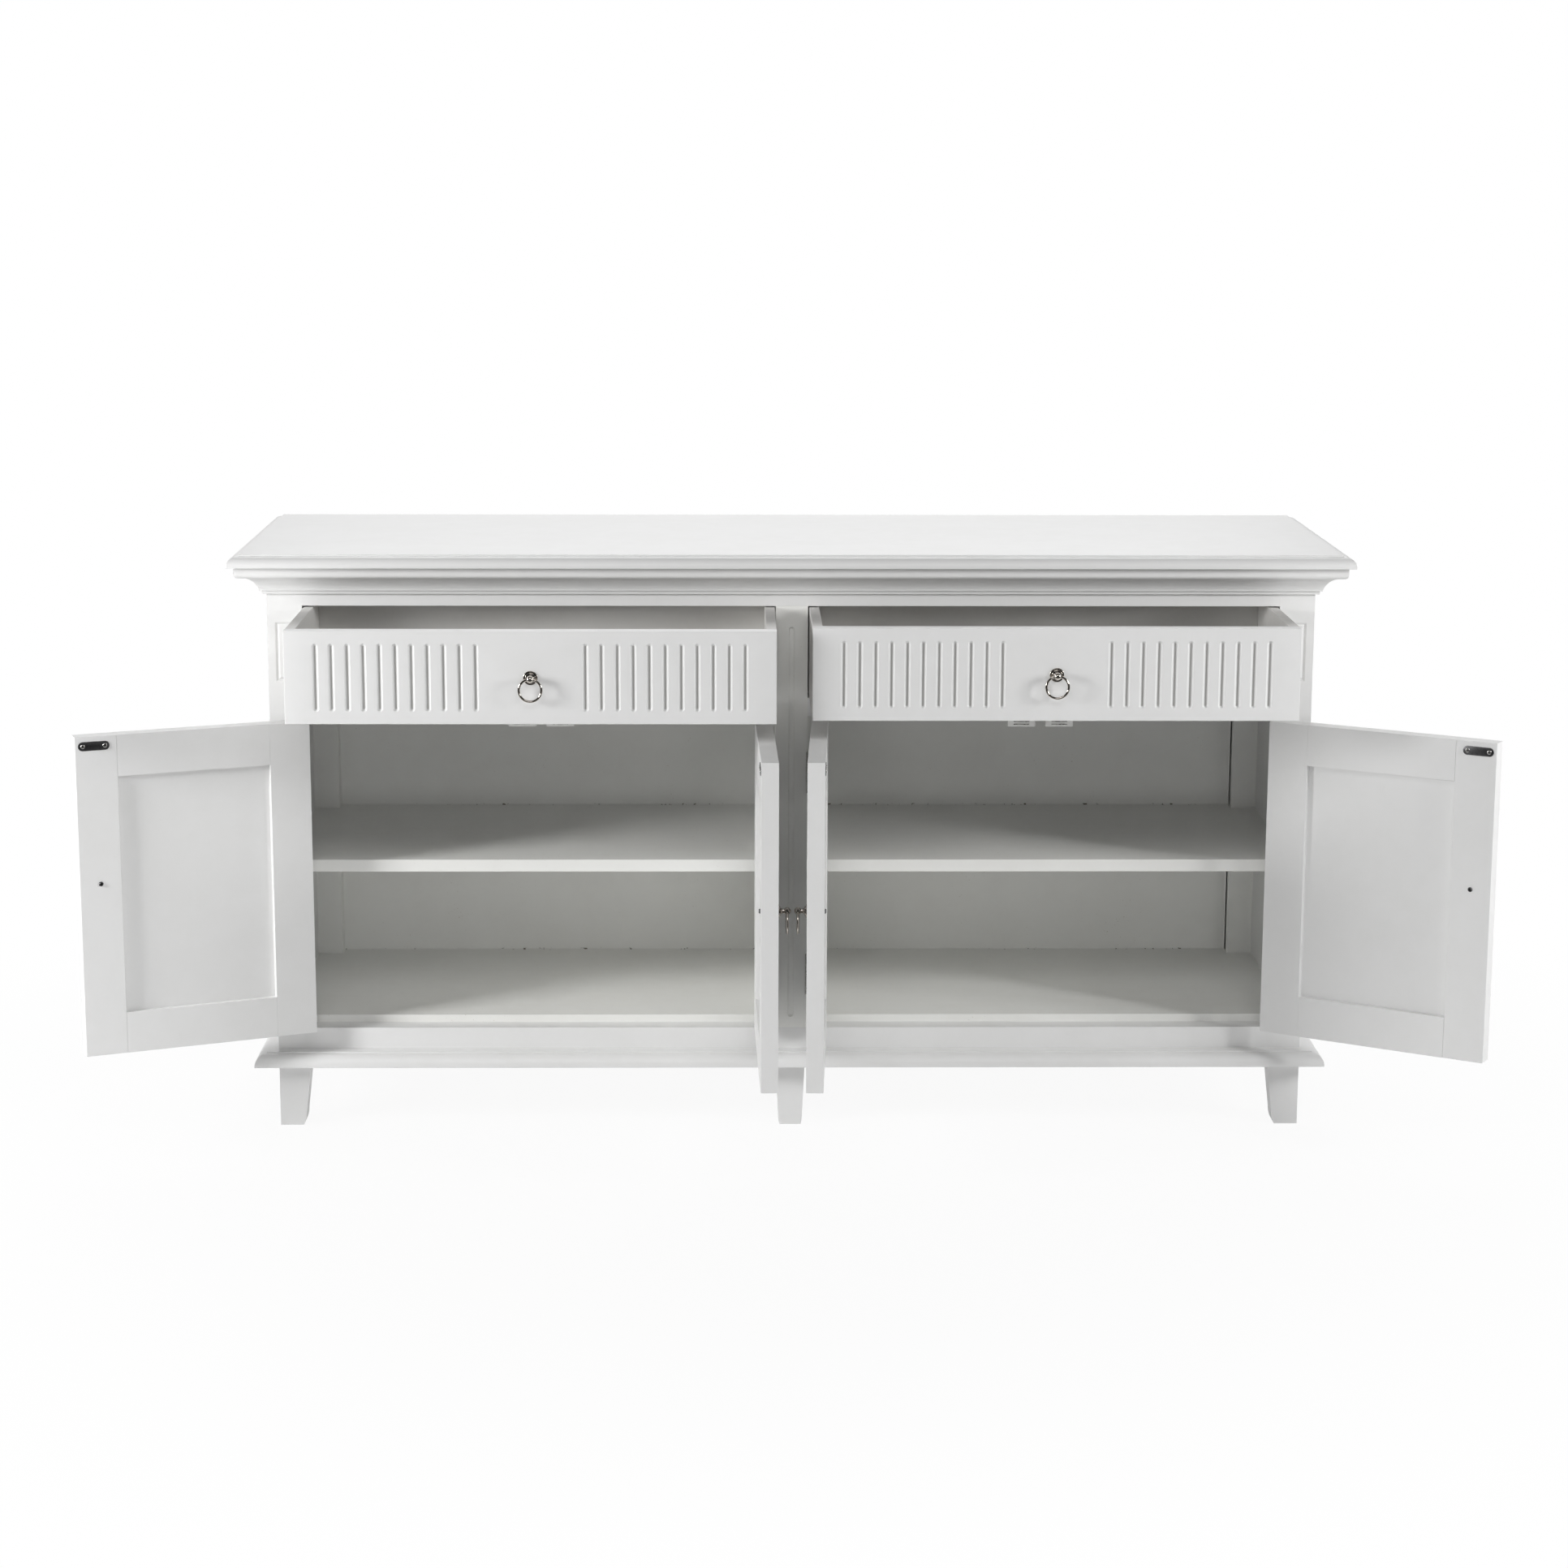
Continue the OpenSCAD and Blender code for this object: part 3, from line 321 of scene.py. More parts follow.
@dataclass(frozen=True)
class Metal:
    """Plated or bare metal with fine brush marks, finger smudges and a slightly uneven polish."""

    name: str
    colour: tuple[float, float, float]
    shade: tuple[float, float, float]
    rough: float
    smudge: float
    brushed: float

    STRETCH = (90.0, 900.0, 2600.0)
    RELIEF = 0.06 * MM

    def material(self) -> bpy.types.Material:
        """Builds the material.

        Returns:
            The material.
        """
        material, graph, shader = blank_material(self.name)
        place = graph.node("ShaderNodeTexCoord").out("Object")
        lines = graph.node("ShaderNodeMapping", None, {"Vector": place, "Scale": self.STRETCH}).out()
        brush = noise(graph, lines, scale=1.0, detail=3.0, rough=0.7)
        film = noise(graph, place, scale=130.0, detail=4.0, rough=0.65)
        patina = film.ramp(0.42, 0.68)
        link(graph, shader, "Base Color", blend_colour(graph, patina, self.colour, self.shade))
        sheen = self.rough + self.smudge * patina + 0.5 * self.brushed * (brush - 0.5)
        link(graph, shader, "Roughness", sheen)
        raise_surface(graph, shader, self.brushed, self.RELIEF, brush + 0.4 * film)
        shader.node.inputs["Metallic"].default_value = 1.0
        return material


@dataclass(frozen=True)
class CaseMoulding:
    """Matt white plastic of the catch cases, with a fine spark-eroded texture."""

    name: str
    colour: tuple[float, float, float]
    shade: tuple[float, float, float]
    rough: float = 0.55

    RELIEF = 0.12 * MM

    def material(self) -> bpy.types.Material:
        """Builds the material.

        Returns:
            The material.
        """
        material, graph, shader = blank_material(self.name)
        place = graph.node("ShaderNodeTexCoord").out("Object")
        grit = noise(graph, place, scale=2400.0, detail=2.0, rough=0.7)
        cast = noise(graph, place, scale=60.0, detail=3.0, rough=0.5)
        link(graph, shader, "Base Color", blend_colour(graph, cast.ramp(0.4, 0.65), self.colour, self.shade))
        link(graph, shader, "Roughness", self.rough + 0.2 * (grit - 0.5))
        raise_surface(graph, shader, 0.4, self.RELIEF, grit)
        return material


def blank_material(name: str) -> tuple[bpy.types.Material, Graph, Node]:
    """Starts a material.

    Args:
        name: The material's name.

    Returns:
        The material, its graph and its Principled shader.
    """
    material = bpy.data.materials.new(name)
    material.use_nodes = True
    graph = Graph(material.node_tree)
    return material, graph, Node(graph, material.node_tree.nodes["Principled BSDF"])


def link(graph: Graph, shader: Node, socket: str, value: object) -> None:
    """Connects a value to one of the shader's sockets.

    Args:
        graph: The material's graph.
        shader: The Principled shader.
        socket: The socket's name.
        value: A Wire or a Node.
    """
    wire = value.out() if isinstance(value, Node) else value
    graph.tree.links.new(wire.socket, find_socket(shader.node.inputs, socket))


def raise_surface(graph: Graph, shader: Node, strength: float, distance: float, height: Wire) -> None:
    """Gives the shader a fine relief.

    Args:
        graph: The material's graph.
        shader: The Principled shader.
        strength: Share of the relief that shows.
        distance: Height of the relief where the pattern is 1.
        height: The pattern.
    """
    bump = graph.node("ShaderNodeBump", None, {"Strength": strength, "Distance": distance, "Height": height})
    link(graph, shader, "Normal", bump)


def noise(graph: Graph, vector: Wire, scale: float, detail: float, rough: float) -> Wire:
    """Adds a noise texture.

    Args:
        graph: The graph.
        vector: Its coordinates.
        scale: Cells per metre of the coordinates.
        detail: Octaves.
        rough: Share that each octave keeps.

    Returns:
        The noise value, about 0 to 1.
    """
    return graph.node("ShaderNodeTexNoise", {"noise_dimensions": "3D"},
                      {"Vector": vector, "Scale": scale, "Detail": detail, "Roughness": rough}).out(0)


def blend_colour(graph: Graph, factor: Wire, first: object, second: object) -> Wire:
    """Mixes two colours.

    Args:
        graph: The graph.
        factor: 0 for the first colour and 1 for the second.
        first: Three numbers or a Wire.
        second: Three numbers or a Wire.

    Returns:
        The mixed colour.
    """
    def rgba(value: object) -> object:
        """Three numbers as a colour with full alpha; a Wire as it is."""
        return value if isinstance(value, Wire) else (*value, 1.0)
    inputs = {"Factor_Float": factor, "A_Color": rgba(first), "B_Color": rgba(second)}
    return graph.node("ShaderNodeMix", {"data_type": "RGBA"}, inputs).out("Result_Color")


class Finish(Enum):
    """The finishes, each with the record's material slot and what builds its material."""

    PAINT = ("painted_wood", Paint("satin_white_paint", (0.86, 0.86, 0.856), (0.842, 0.842, 0.835)))
    # Interior paint: warm-tinted, and lighter than the outside white; the extra lightness is painted light lifting
    # the shaded insides.
    INSIDE = ("painted_interior", Paint("white_paint_inside", (0.93, 0.932, 0.906), (0.91, 0.908, 0.88),
                                        rough=0.5, grain=0.35, peel=0.2, dust=0.55,
                                        seam_y=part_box("back_panel")[0].y,
                                        seam_heights=(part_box("floor_boards")[1].z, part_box("shelves")[1].z)))
    # Back posts and centre stile take the lighter interior paint, painted light that lifts their shade.
    WITHIN = ("painted_wood", replace(INSIDE[1], name="white_paint_posts_within"))
    PANEL = ("painted_interior", replace(PAINT[1], name="satin_white_side_panels"))
    # Drawer fronts, with painted shade in the bottoms of their flutes.
    FLUTED = ("painted_wood", replace(PAINT[1], name="satin_white_fluted_fronts", flute_shade=0.8))
    # Drawer insides: grey paint darker than the white, partly real tone and partly painted shade inside the
    # drawers.
    LINING = ("painted_interior", Paint("drawer_lining_paint", (0.74, 0.73, 0.71), (0.70, 0.688, 0.665),
                                        rough=0.5, grain=0.35, peel=0.2))
    NICKEL = ("polished_nickel", Metal("bright_nickel_plate", (0.64, 0.595, 0.545), (0.55, 0.51, 0.465),
                                       rough=0.05, smudge=0.07, brushed=0.03))
    STEEL = ("plated_steel", Metal("zinc_plated_steel", (0.62, 0.61, 0.59), (0.50, 0.49, 0.47),
                                   rough=0.24, smudge=0.14, brushed=0.12))
    DARK = ("dark_steel", Metal("magnet_pole_steel", (0.17, 0.17, 0.175), (0.10, 0.10, 0.10),
                                rough=0.36, smudge=0.16, brushed=0.22))
    CASE = ("catch_case", CaseMoulding("white_catch_case", (0.80, 0.80, 0.78), (0.74, 0.74, 0.72)))

    @property
    def slot(self) -> str:
        """The record's material slot."""
        return self.value[0]

    def material(self) -> bpy.types.Material:
        """The finish's material, built on first use."""
        made = bpy.data.materials.get(self.value[1].name)
        return made or self.value[1].material()


# Mesh helpers

def rounded_path(corners: Sequence[tuple[float, float, float]], steps: int = 4) -> list[Point2]:
    """A path through corners, each replaced by an arc of its radius.

    Args:
        corners: (x, y, radius) of each corner; a radius of 0 keeps the point.
        steps: Segments in an arc of a right angle.

    Returns:
        The points of the path.
    """
    path: list[Point2] = []
    last = len(corners) - 1
    for i, (x, y, radius) in enumerate(corners):
        if radius <= 0 or i in (0, last):
            path.append((x, y))
            continue
        here = Vector((x, y))
        before = (Vector(corners[i - 1][:2]) - here).normalized()
        after = (Vector(corners[i + 1][:2]) - here).normalized()
        turn = math.pi - before.angle(after)
        reach = radius * math.tan(turn / 2)
        middle = here + (before + after).normalized() * (radius / math.cos(turn / 2))
        start = here + before * reach - middle
        side = 1 if before.x * after.y - before.y * after.x < 0 else -1
        count = max(2, round(steps * turn / (math.pi / 2)))
        for k in range(count + 1):
            spin = Matrix.Rotation(side * turn * k / count, 2)
            path.append(tuple(middle + spin @ start))
    return path


def spokes(count: int) -> list[float]:
    """The angles of evenly spaced spokes of a full turn."""
    return [math.tau * k / count for k in range(count)]


def evenly(start: float, end: float, steps: int) -> list[float]:
    """Numbers from start to end in even steps, with both ends."""
    return [start + (end - start) * k / steps for k in range(steps + 1)]


def skin(bm: BMesh, rows: Sequence[Sequence[BMVert]], looped: bool = True, round_trip: bool = False) -> None:
    """Joins rows of points with four-sided faces.

    Args:
        bm: The mesh.
        rows: The rows, with equally many points each.
        looped: Whether the last point of each row joins the first.
        round_trip: Whether the last row joins the first.
    """
    pairs = list(zip(rows, rows[1:])) + ([(rows[-1], rows[0])] if round_trip else [])
    for low, high in pairs:
        count = len(low)
        for k in range(count if looped else count - 1):
            n = (k + 1) % count
            bm.faces.new((low[k], low[n], high[n], high[k]))


def faced(bm: BMesh) -> BMesh:
    """Turns the faces of a closed mesh outward and gives the mesh back."""
    bmesh.ops.recalc_face_normals(bm, faces=bm.faces)
    return bm


def mesh_of(bm: BMesh, name: str) -> bpy.types.Mesh:
    """Keeps a mesh under construction as plain data and frees it.

    Args:
        bm: The mesh.
        name: Name of the data.

    Returns:
        The plain mesh.
    """
    mesh = bpy.data.meshes.new(name)
    bm.to_mesh(mesh)
    bm.free()
    return mesh


def linked(name: str, data: bpy.types.ID) -> bpy.types.Object:
    """A new object in the scene.

    Args:
        name: The object's name.
        data: Its mesh, lamp or camera.

    Returns:
        The object.
    """
    made = bpy.data.objects.new(name, data)
    bpy.context.scene.collection.objects.link(made)
    return made


def lathe(profile: Sequence[Point2], segments: int, outward: Placer3) -> BMesh:
    """Turns a profile about its axis and closes it at both ends.

    Args:
        profile: (radius, distance along the axis), from one end to the other. A radius of 0 is a pole.
        segments: Steps round the axis.
        outward: Places a point given its two cross coordinates and its distance along the axis.

    Returns:
        The closed mesh.
    """
    bm = bmesh.new()
    rings = []
    for radius, along in profile:
        if radius < POLE:
            rings.append([bm.verts.new(outward(0, 0, along))])
            continue
        places = [outward(radius * math.cos(a), radius * math.sin(a), along) for a in spokes(segments)]
        rings.append([bm.verts.new(place) for place in places])
    for low, high in zip(rings, rings[1:]):
        for k in range(segments):
            n = k + 1
            quad = (low[k % len(low)], low[n % len(low)], high[n % len(high)], high[k % len(high)])
            corners = list(dict.fromkeys(quad))
            if len(corners) > 2:
                bm.faces.new(corners)
    for ring in (rings[0], rings[-1]):
        if len(ring) > 2:
            bm.faces.new(ring)
    return faced(bm)


def ring_of(centre: Vector, across: Vector, up: Vector, major: float, minor: float,
            turns: int, sides: int) -> BMesh:
    """A closed ring of round rod.

    Args:
        centre: Centre of the ring.
        across: First direction in the plane of the ring.
        up: Second direction in that plane.
        major: Radius to the middle of the rod.
        minor: Radius of the rod.
        turns: Segments round the ring.
        sides: Segments round the rod.

    Returns:
        The mesh.
    """
    bm = bmesh.new()
    normal = across.cross(up)
    loops = []
    for a in spokes(turns):
        spoke = across * math.cos(a) + up * math.sin(a)
        places = [centre + spoke * (major + minor * math.cos(b)) + normal * minor * math.sin(b)
                  for b in spokes(sides)]
        loops.append([bm.verts.new(place) for place in places])
    skin(bm, loops, round_trip=True)
    return faced(bm)


def prism(outline: Sequence[Point2], low: Placer2, high: Placer2) -> BMesh:
    """A closed prism between two copies of an outline.

    Args:
        outline: The outline's points in order.
        low: Places a point of the outline at one end.
        high: Places a point of the outline at the other end.

    Returns:
        The mesh.
    """
    bm = bmesh.new()
    near = [bm.verts.new(low(p)) for p in outline]
    far = [bm.verts.new(high(p)) for p in outline]
    skin(bm, (near, far))
    bm.faces.new(near)
    bm.faces.new(far)
    return faced(bm)


def eased_box(low: Sequence[float], high: Sequence[float], ease: float, steps: int = 2) -> BMesh:
    """A block with rounded edges.

    Args:
        low: Lowest corner.
        high: Highest corner.
        ease: Radius of the edges.
        steps: Segments in each rounded edge.

    Returns:
        The mesh.
    """
    bm = bmesh.new()
    bmesh.ops.create_cube(bm, size=1.0)
    low, high = Vector(low), Vector(high)
    for v in bm.verts:
        v.co = Vector(low[i] + (v.co[i] + 0.5) * (high[i] - low[i]) for i in range(3))
    bmesh.ops.bevel(bm, geom=bm.edges[:], offset=ease, segments=steps, profile=0.5, affect="EDGES")
    return bm


def joined(parts: Iterable[BMesh]) -> BMesh:
    """Several meshes as one, each kept as a closed shell of its own.

    Args:
        parts: The meshes, which are used up.

    Returns:
        The whole.
    """
    whole = bmesh.new()
    for part in parts:
        mesh = mesh_of(part, "part")
        whole.from_mesh(mesh)
        bpy.data.meshes.remove(mesh)
    return whole


def moved(bm: BMesh, place: Matrix) -> BMesh:
    """Moves a mesh to its place and turns its faces right side out if the place mirrors it.

    Args:
        bm: The mesh.
        place: The place.

    Returns:
        The same mesh.
    """
    bm.transform(place)
    if place.determinant() < 0:
        bmesh.ops.reverse_faces(bm, faces=bm.faces[:])
    return bm


def evaluated(holder: bpy.types.Object) -> bpy.types.Mesh:
    """The object's mesh with its modifiers applied, as plain data; the object is removed.

    Args:
        holder: The object.

    Returns:
        The mesh.
    """
    graph = bpy.context.evaluated_depsgraph_get()
    mesh = bpy.data.meshes.new_from_object(holder.evaluated_get(graph), depsgraph=graph)
    bpy.data.objects.remove(holder)
    return mesh


def holder_of(bm: BMesh, name: str) -> bpy.types.Object:
    """A linked object that holds the mesh while modifiers work on it."""
    return linked(name, mesh_of(bm, name))


def islands_of(bm: BMesh) -> list[list[BMFace]]:
    """The faces of each connected shell, in the order of the mesh.

    Args:
        bm: The mesh.

    Returns:
        A list of faces for each shell.
    """
    seen: set[int] = set()
    groups = []
    bm.faces.ensure_lookup_table()
    for start in bm.faces:
        if start.index in seen:
            continue
        seen.add(start.index)
        group, queue = [], [start]
        while queue:
            face = queue.pop()
            group.append(face)
            for edge in face.edges:
                for other in edge.link_faces:
                    if other.index not in seen:
                        seen.add(other.index)
                        queue.append(other)
        groups.append(group)
    return groups


def map_grain(bm: BMesh, turn: Matrix, seed: int) -> None:
    """Writes the grain map: along the longest side of each board, in metres, with a start of its own.

    Args:
        bm: The mesh.
        turn: Rotation from the piece's own directions to the frame's.
        seed: Seed of the starts.
    """
    layer = bm.loops.layers.uv.get(GRAIN_MAP) or bm.loops.layers.uv.new(GRAIN_MAP)
    back = turn.inverted()
    draw = random.Random(seed)
    bm.faces.index_update()
    for group in islands_of(bm):
        points = [back @ v.co for face in group for v in face.verts]
        span = [max(p[i] for p in points) - min(p[i] for p in points) for i in range(3)]
        long = span.index(max(span))
        start = (draw.uniform(0, GRAIN_SPREAD), draw.uniform(0, GRAIN_SPREAD))
        for face in group:
            normal = back @ face.normal
            facing = max(range(3), key=lambda i: abs(normal[i]))
            flat = [i for i in range(3) if i != facing]
            first, second = (flat if flat[0] == long else flat[::-1]) if long in flat else flat
            for loop in face.loops:
                p = back @ loop.vert.co
                loop[layer].uv = (p[first] + start[0], p[second] + start[1])


def joint_of(name: str) -> dict[str, object]:
    """The frame's record of a joint."""
    return next(j for j in frame["joints"] if j["name"] == name)


class Workshop:
    """Turns meshes into pieces: material, grain map, shading, body and the nodes that they replace."""

    def __init__(self) -> None:
        """Starts with no pieces."""
        self.count = 0

    def piece(self, source: Union[BMesh, bpy.types.Mesh], name: str, finish: Finish, body: str,
              replaces: Sequence[str] = (), turn: Matrix | None = None,
              smooth: float = 32.0) -> bpy.types.Object:
        """Finishes a piece.

        Args:
            source: Its mesh, in place.
            name: The piece's name.
            finish: Its finish.
            body: The body that it rides on.
            replaces: The nodes that it stands for.
            turn: Rotation of its own directions, for the grain map.
            smooth: Largest angle in degrees that is shaded as round; 0 keeps the mesh's own normals.

        Returns:
            The finished object.
        """
        mesh = mesh_of(source, name) if isinstance(source, BMesh) else source
        mesh.name = name
        self.count += 1
        if isinstance(finish.value[1], Paint):
            bm = bmesh.new()
            bm.from_mesh(mesh)
            map_grain(bm, turn or Matrix.Identity(3), self.count)
            bm.to_mesh(mesh)
            bm.free()
        mesh.materials.clear()
        mesh.materials.append(finish.material())
        mesh.polygons.foreach_set("material_index", [0] * len(mesh.polygons))
        if smooth:
            mesh.shade_smooth()
            mesh.set_sharp_from_angle(angle=math.radians(smooth))
        piece = linked(name, mesh)
        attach(piece, body)
        if replaces:
            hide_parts(*replaces)
        log.info("%s: %d faces on %s", name, len(mesh.polygons), body)
        return piece


# Eased timberwork

@dataclass
class EasedTimber:
    """Boards that keep the frame's shape and get their arrises eased, with hairlines where they meet.

    TESTED gives the shares of an edge at which a neighbour is looked for.
    """

    shop: Workshop
    arris: float = 0.8 * MM
    joint: float = 0.16 * MM
    steps: int = 3
    near: float = 0.45 * MM
    short: float = 2.0 * MM
    flat: float = math.radians(0.4)
    sharp: float = math.radians(24)

    TESTED = (0.12, 0.37, 0.63, 0.88)

    def merged(self, node: str) -> BMesh:
        """A merged copy of a node's mesh, with its flat faces whole again.

        Args:
            node: The node's name.

        Returns:
            The copy.
        """
        bm = bmesh.new()
        bm.from_mesh(frame["nodes"][node].data)
        bmesh.ops.remove_doubles(bm, verts=bm.verts[:], dist=MERGE)
        bmesh.ops.dissolve_limit(bm, angle_limit=self.flat, use_dissolve_boundaries=False,
                                 verts=bm.verts[:], edges=bm.edges[:], delimit=set())
        return bm

    def neighbours(self, node: str, body: str) -> BVHTree:
        """The surfaces of the other nodes on the same body.

        Args:
            node: The node that is left out.
            body: The body.

        Returns:
            A tree that finds the nearest surface.
        """
        vertices: list[Vector] = []
        faces: list[tuple[int, ...]] = []
        for other in frame["record"]["behaviour"]["bodies"][body]:
            if other != node:
                mesh = frame["nodes"][other].data
                first = len(vertices)
                vertices.extend(v.co.copy() for v in mesh.vertices)
                faces.extend(tuple(first + i for i in p.vertices) for p in mesh.polygons)
        return BVHTree.FromPolygons(vertices, faces)

    def build(self, node: str, body: str, finish: Finish, arris: float | None = None,
              turn: Matrix | None = None) -> bpy.types.Object:
        """Builds the eased copy of one node.

        Args:
            node: The node's name.
            body: Its body.
            finish: Its finish.
            arris: Radius of the free edges, if not the usual one.
            turn: Rotation of the board's own directions.

        Returns:
            The piece.
        """
        arris = arris or self.arris
        bm = self.merged(node)
        tree = self.neighbours(node, body)
        layer = bm.edges.layers.float.new("bevel_weight_edge")
        for edge in bm.edges:
            if len(edge.link_faces) != 2 or edge.calc_face_angle(0) < self.sharp:
                continue
            a, b = (v.co for v in edge.verts)
            if edge.calc_length() < self.short:
                edge.smooth = False
                continue
            touching = sum(tree.find_nearest(a.lerp(b, t), self.near)[0] is not None for t in self.TESTED)
            edge[layer] = self.joint / arris if touching > 2 else 1.0
        holder = holder_of(bm, node + "_eased")
        bevel = holder.modifiers.new("arris", "BEVEL")
        bevel.limit_method = "WEIGHT"
        bevel.width = arris
        bevel.segments = self.steps
        bevel.miter_outer = "MITER_ARC"
        normals = holder.modifiers.new("normals", "WEIGHTED_NORMAL")
        normals.keep_sharp = True
        for polygon in holder.data.polygons:
            polygon.use_smooth = True
        return self.shop.piece(evaluated(holder), node + "_eased", finish, body, [node], turn, smooth=0)


# Fasteners

@dataclass
class Fastener:
    """A screw head that Geometry Nodes set on points: a dome or flat disc with a cross recess.

    SHELL gives the sections of its side as shares of the radius and of the rise. SINK is the depth of the
    recess as a share of the radius, and TAPER the size of the recess's foot as a share of its rim.
    """

    radius: float
    dome: float
    finish: Finish
    recess: float = 0.55
    arm: float = 0.16
    deep: float = 1.0
    sides: int = 20

    SHELL = ((0.96, -0.35), (1.0, 0.0), (0.93, 0.45), (0.72, 1.0))
    SINK = 0.6
    TAPER = 0.55

    def head(self) -> BMesh:
        """The head, standing on the origin and facing +Z.

        Returns:
            The closed mesh.
        """
        r, rise = self.radius, self.dome
        bm = bmesh.new()
        loops = [[bm.verts.new((r * share * math.cos(a), r * share * math.sin(a), rise * lift))
                  for a in spokes(self.sides)] for share, lift in self.SHELL]
        skin(bm, loops)
        bm.faces.new(loops[0][::-1])
        w, reach = r * self.arm, r * self.recess
        plus = []
        for turn in range(4):
            spin = Matrix.Rotation(turn * math.pi / 2, 2)
            plus += [spin @ Vector(p) for p in ((w, w), (w, reach), (-w, reach))]
        rim = [bm.verts.new((p.x, p.y, rise)) for p in plus]
        edges = [bm.edges.new(pair) for pair in zip(rim, rim[1:] + rim[:1])]
        top = loops[-1]
        ring = [bm.edges.get(pair) for pair in zip(top, top[1:] + top[:1])]
        bmesh.ops.triangle_fill(bm, edges=ring + edges, use_beauty=True, normal=(0, 0, 1))
        depth = rise - self.deep * r * self.SINK
        foot = [bm.verts.new((p.x * self.TAPER, p.y * self.TAPER, depth)) for p in plus]
        skin(bm, (rim, foot))
        bm.faces.new(foot)
        return faced(bm)


class GroupTree:
    """A Geometry Nodes tree with named inputs, which gives real geometry in one finish."""

    def __init__(self, name: str, inputs: Sequence[tuple[str, str]], result: str) -> None:
        """Makes the tree's sockets, of which the last takes the finish.

        Args:
            name: The tree's name.
            inputs: Name and kind of each input before the finish.
            result: Name of the geometry that comes out.
        """
        self.tree = bpy.data.node_groups.new(name, "GeometryNodeTree")
        self.result = result
        face = self.tree.interface
        self.sockets = {key: face.new_socket(key, in_out="INPUT", socket_type="NodeSocket" + kind).identifier
                        for key, kind in (*inputs, ("Finish", "Material"))}
        face.new_socket(result, in_out="OUTPUT", socket_type="NodeSocketGeometry")
        self.graph = Graph(self.tree)
        self.given = self.graph.node("NodeGroupInput")

    def close(self, geometry: Node) -> None:
        """Ends the tree: its instances become real and take the finish.

        Args:
            geometry: The node whose geometry comes out.
        """
        finish = self.given.out("Finish")
        real = self.graph.node("GeometryNodeRealizeInstances", None, {"Geometry": geometry})
        done = self.graph.node("GeometryNodeSetMaterial", None, {"Geometry": real, "Material": finish})
        self.graph.node("NodeGroupOutput", None, {self.result: done})

    def put_on(self, holder: bpy.types.Object, finish: Finish, values: dict[str, object]) -> None:
        """Puts the tree on an object as a modifier.

        Args:
            holder: The object, whose mesh is the tree's first input.
            finish: Finish of what comes out.
            values: The values of the other inputs, by name.
        """
        modifier = holder.modifiers.new(self.tree.name, "NODES")
        modifier.node_group = self.tree
        for key, value in {**values, "Finish": finish.material()}.items():
            modifier[self.sockets[key]] = value


class FastenerTree(GroupTree):
    """Sets a fastener on every point, facing the point's direction."""

    def __init__(self) -> None:
        """Builds the tree."""
        super().__init__("set_fasteners", (("Points", "Geometry"), ("Fastener", "Object"), ("Size", "Float"),
                                           ("Turn Seed", "Int")), "Fasteners")
        graph, given = self.graph, self.given
        shape = graph.node("GeometryNodeObjectInfo", {"transform_space": "ORIGINAL"},
                           {"Object": given.out("Fastener")})
        facing = graph.node("GeometryNodeInputNamedAttribute", {"data_type": "FLOAT_VECTOR"},
                            {"Name": "facing"}).out("Attribute")
        aim = graph.node("FunctionNodeAlignRotationToVector", {"axis": "Z"}, {"Vector": facing})
        draw = graph.node("FunctionNodeRandomValue", {"data_type": "FLOAT"},
                          {"Min_001": 0.0, "Max_001": math.tau, "Seed": given.out("Turn Seed")})
        spin = graph.node("FunctionNodeAxisAngleToRotation", None,
                          {"Axis": (0, 0, 1), "Angle": draw.out("Value_001")})
        turned = graph.node("FunctionNodeRotateRotation", {"rotation_space": "LOCAL"},
                            {"Rotation": aim, "Rotate By": spin})
        size = graph.node("ShaderNodeCombineXYZ", None, {i: given.out("Size") for i in range(3)})
        self.close(graph.node("GeometryNodeInstanceOnPoints", None,
                              {"Points": given.out("Points"), "Instance": shape.out("Geometry"),
                               "Rotation": turned, "Scale": size}))

    def set(self, shop: Workshop, fastener: Fastener, spots: Sequence[tuple[Vector, Vector]], name: str,
            body: str, seed: int) -> bpy.types.Object:
        """Sets fasteners on spots and finishes them as one piece.

        Args:
            shop: The workshop.
            fastener: The fastener.
            spots: (place, direction) of each head.
            name: The piece's name.
            body: Its body.
            seed: Seed of the turns.

        Returns:
            The piece.
        """
        head = holder_of(fastener.head(), name + "_head")
        points = bpy.data.meshes.new(name + "_points")
        points.from_pydata([tuple(p) for p, _ in spots], [], [])
        facing = points.attributes.new("facing", "FLOAT_VECTOR", "POINT")
        facing.data.foreach_set("vector", [c for _, n in spots for c in n])
        holder = linked(name + "_points", points)
        self.put_on(holder, fastener.finish, {"Fastener": head, "Size": 1.0, "Turn Seed": seed})
        mesh = evaluated(holder)
        bpy.data.objects.remove(head)
        return shop.piece(mesh, name, fastener.finish, body, smooth=40.0)


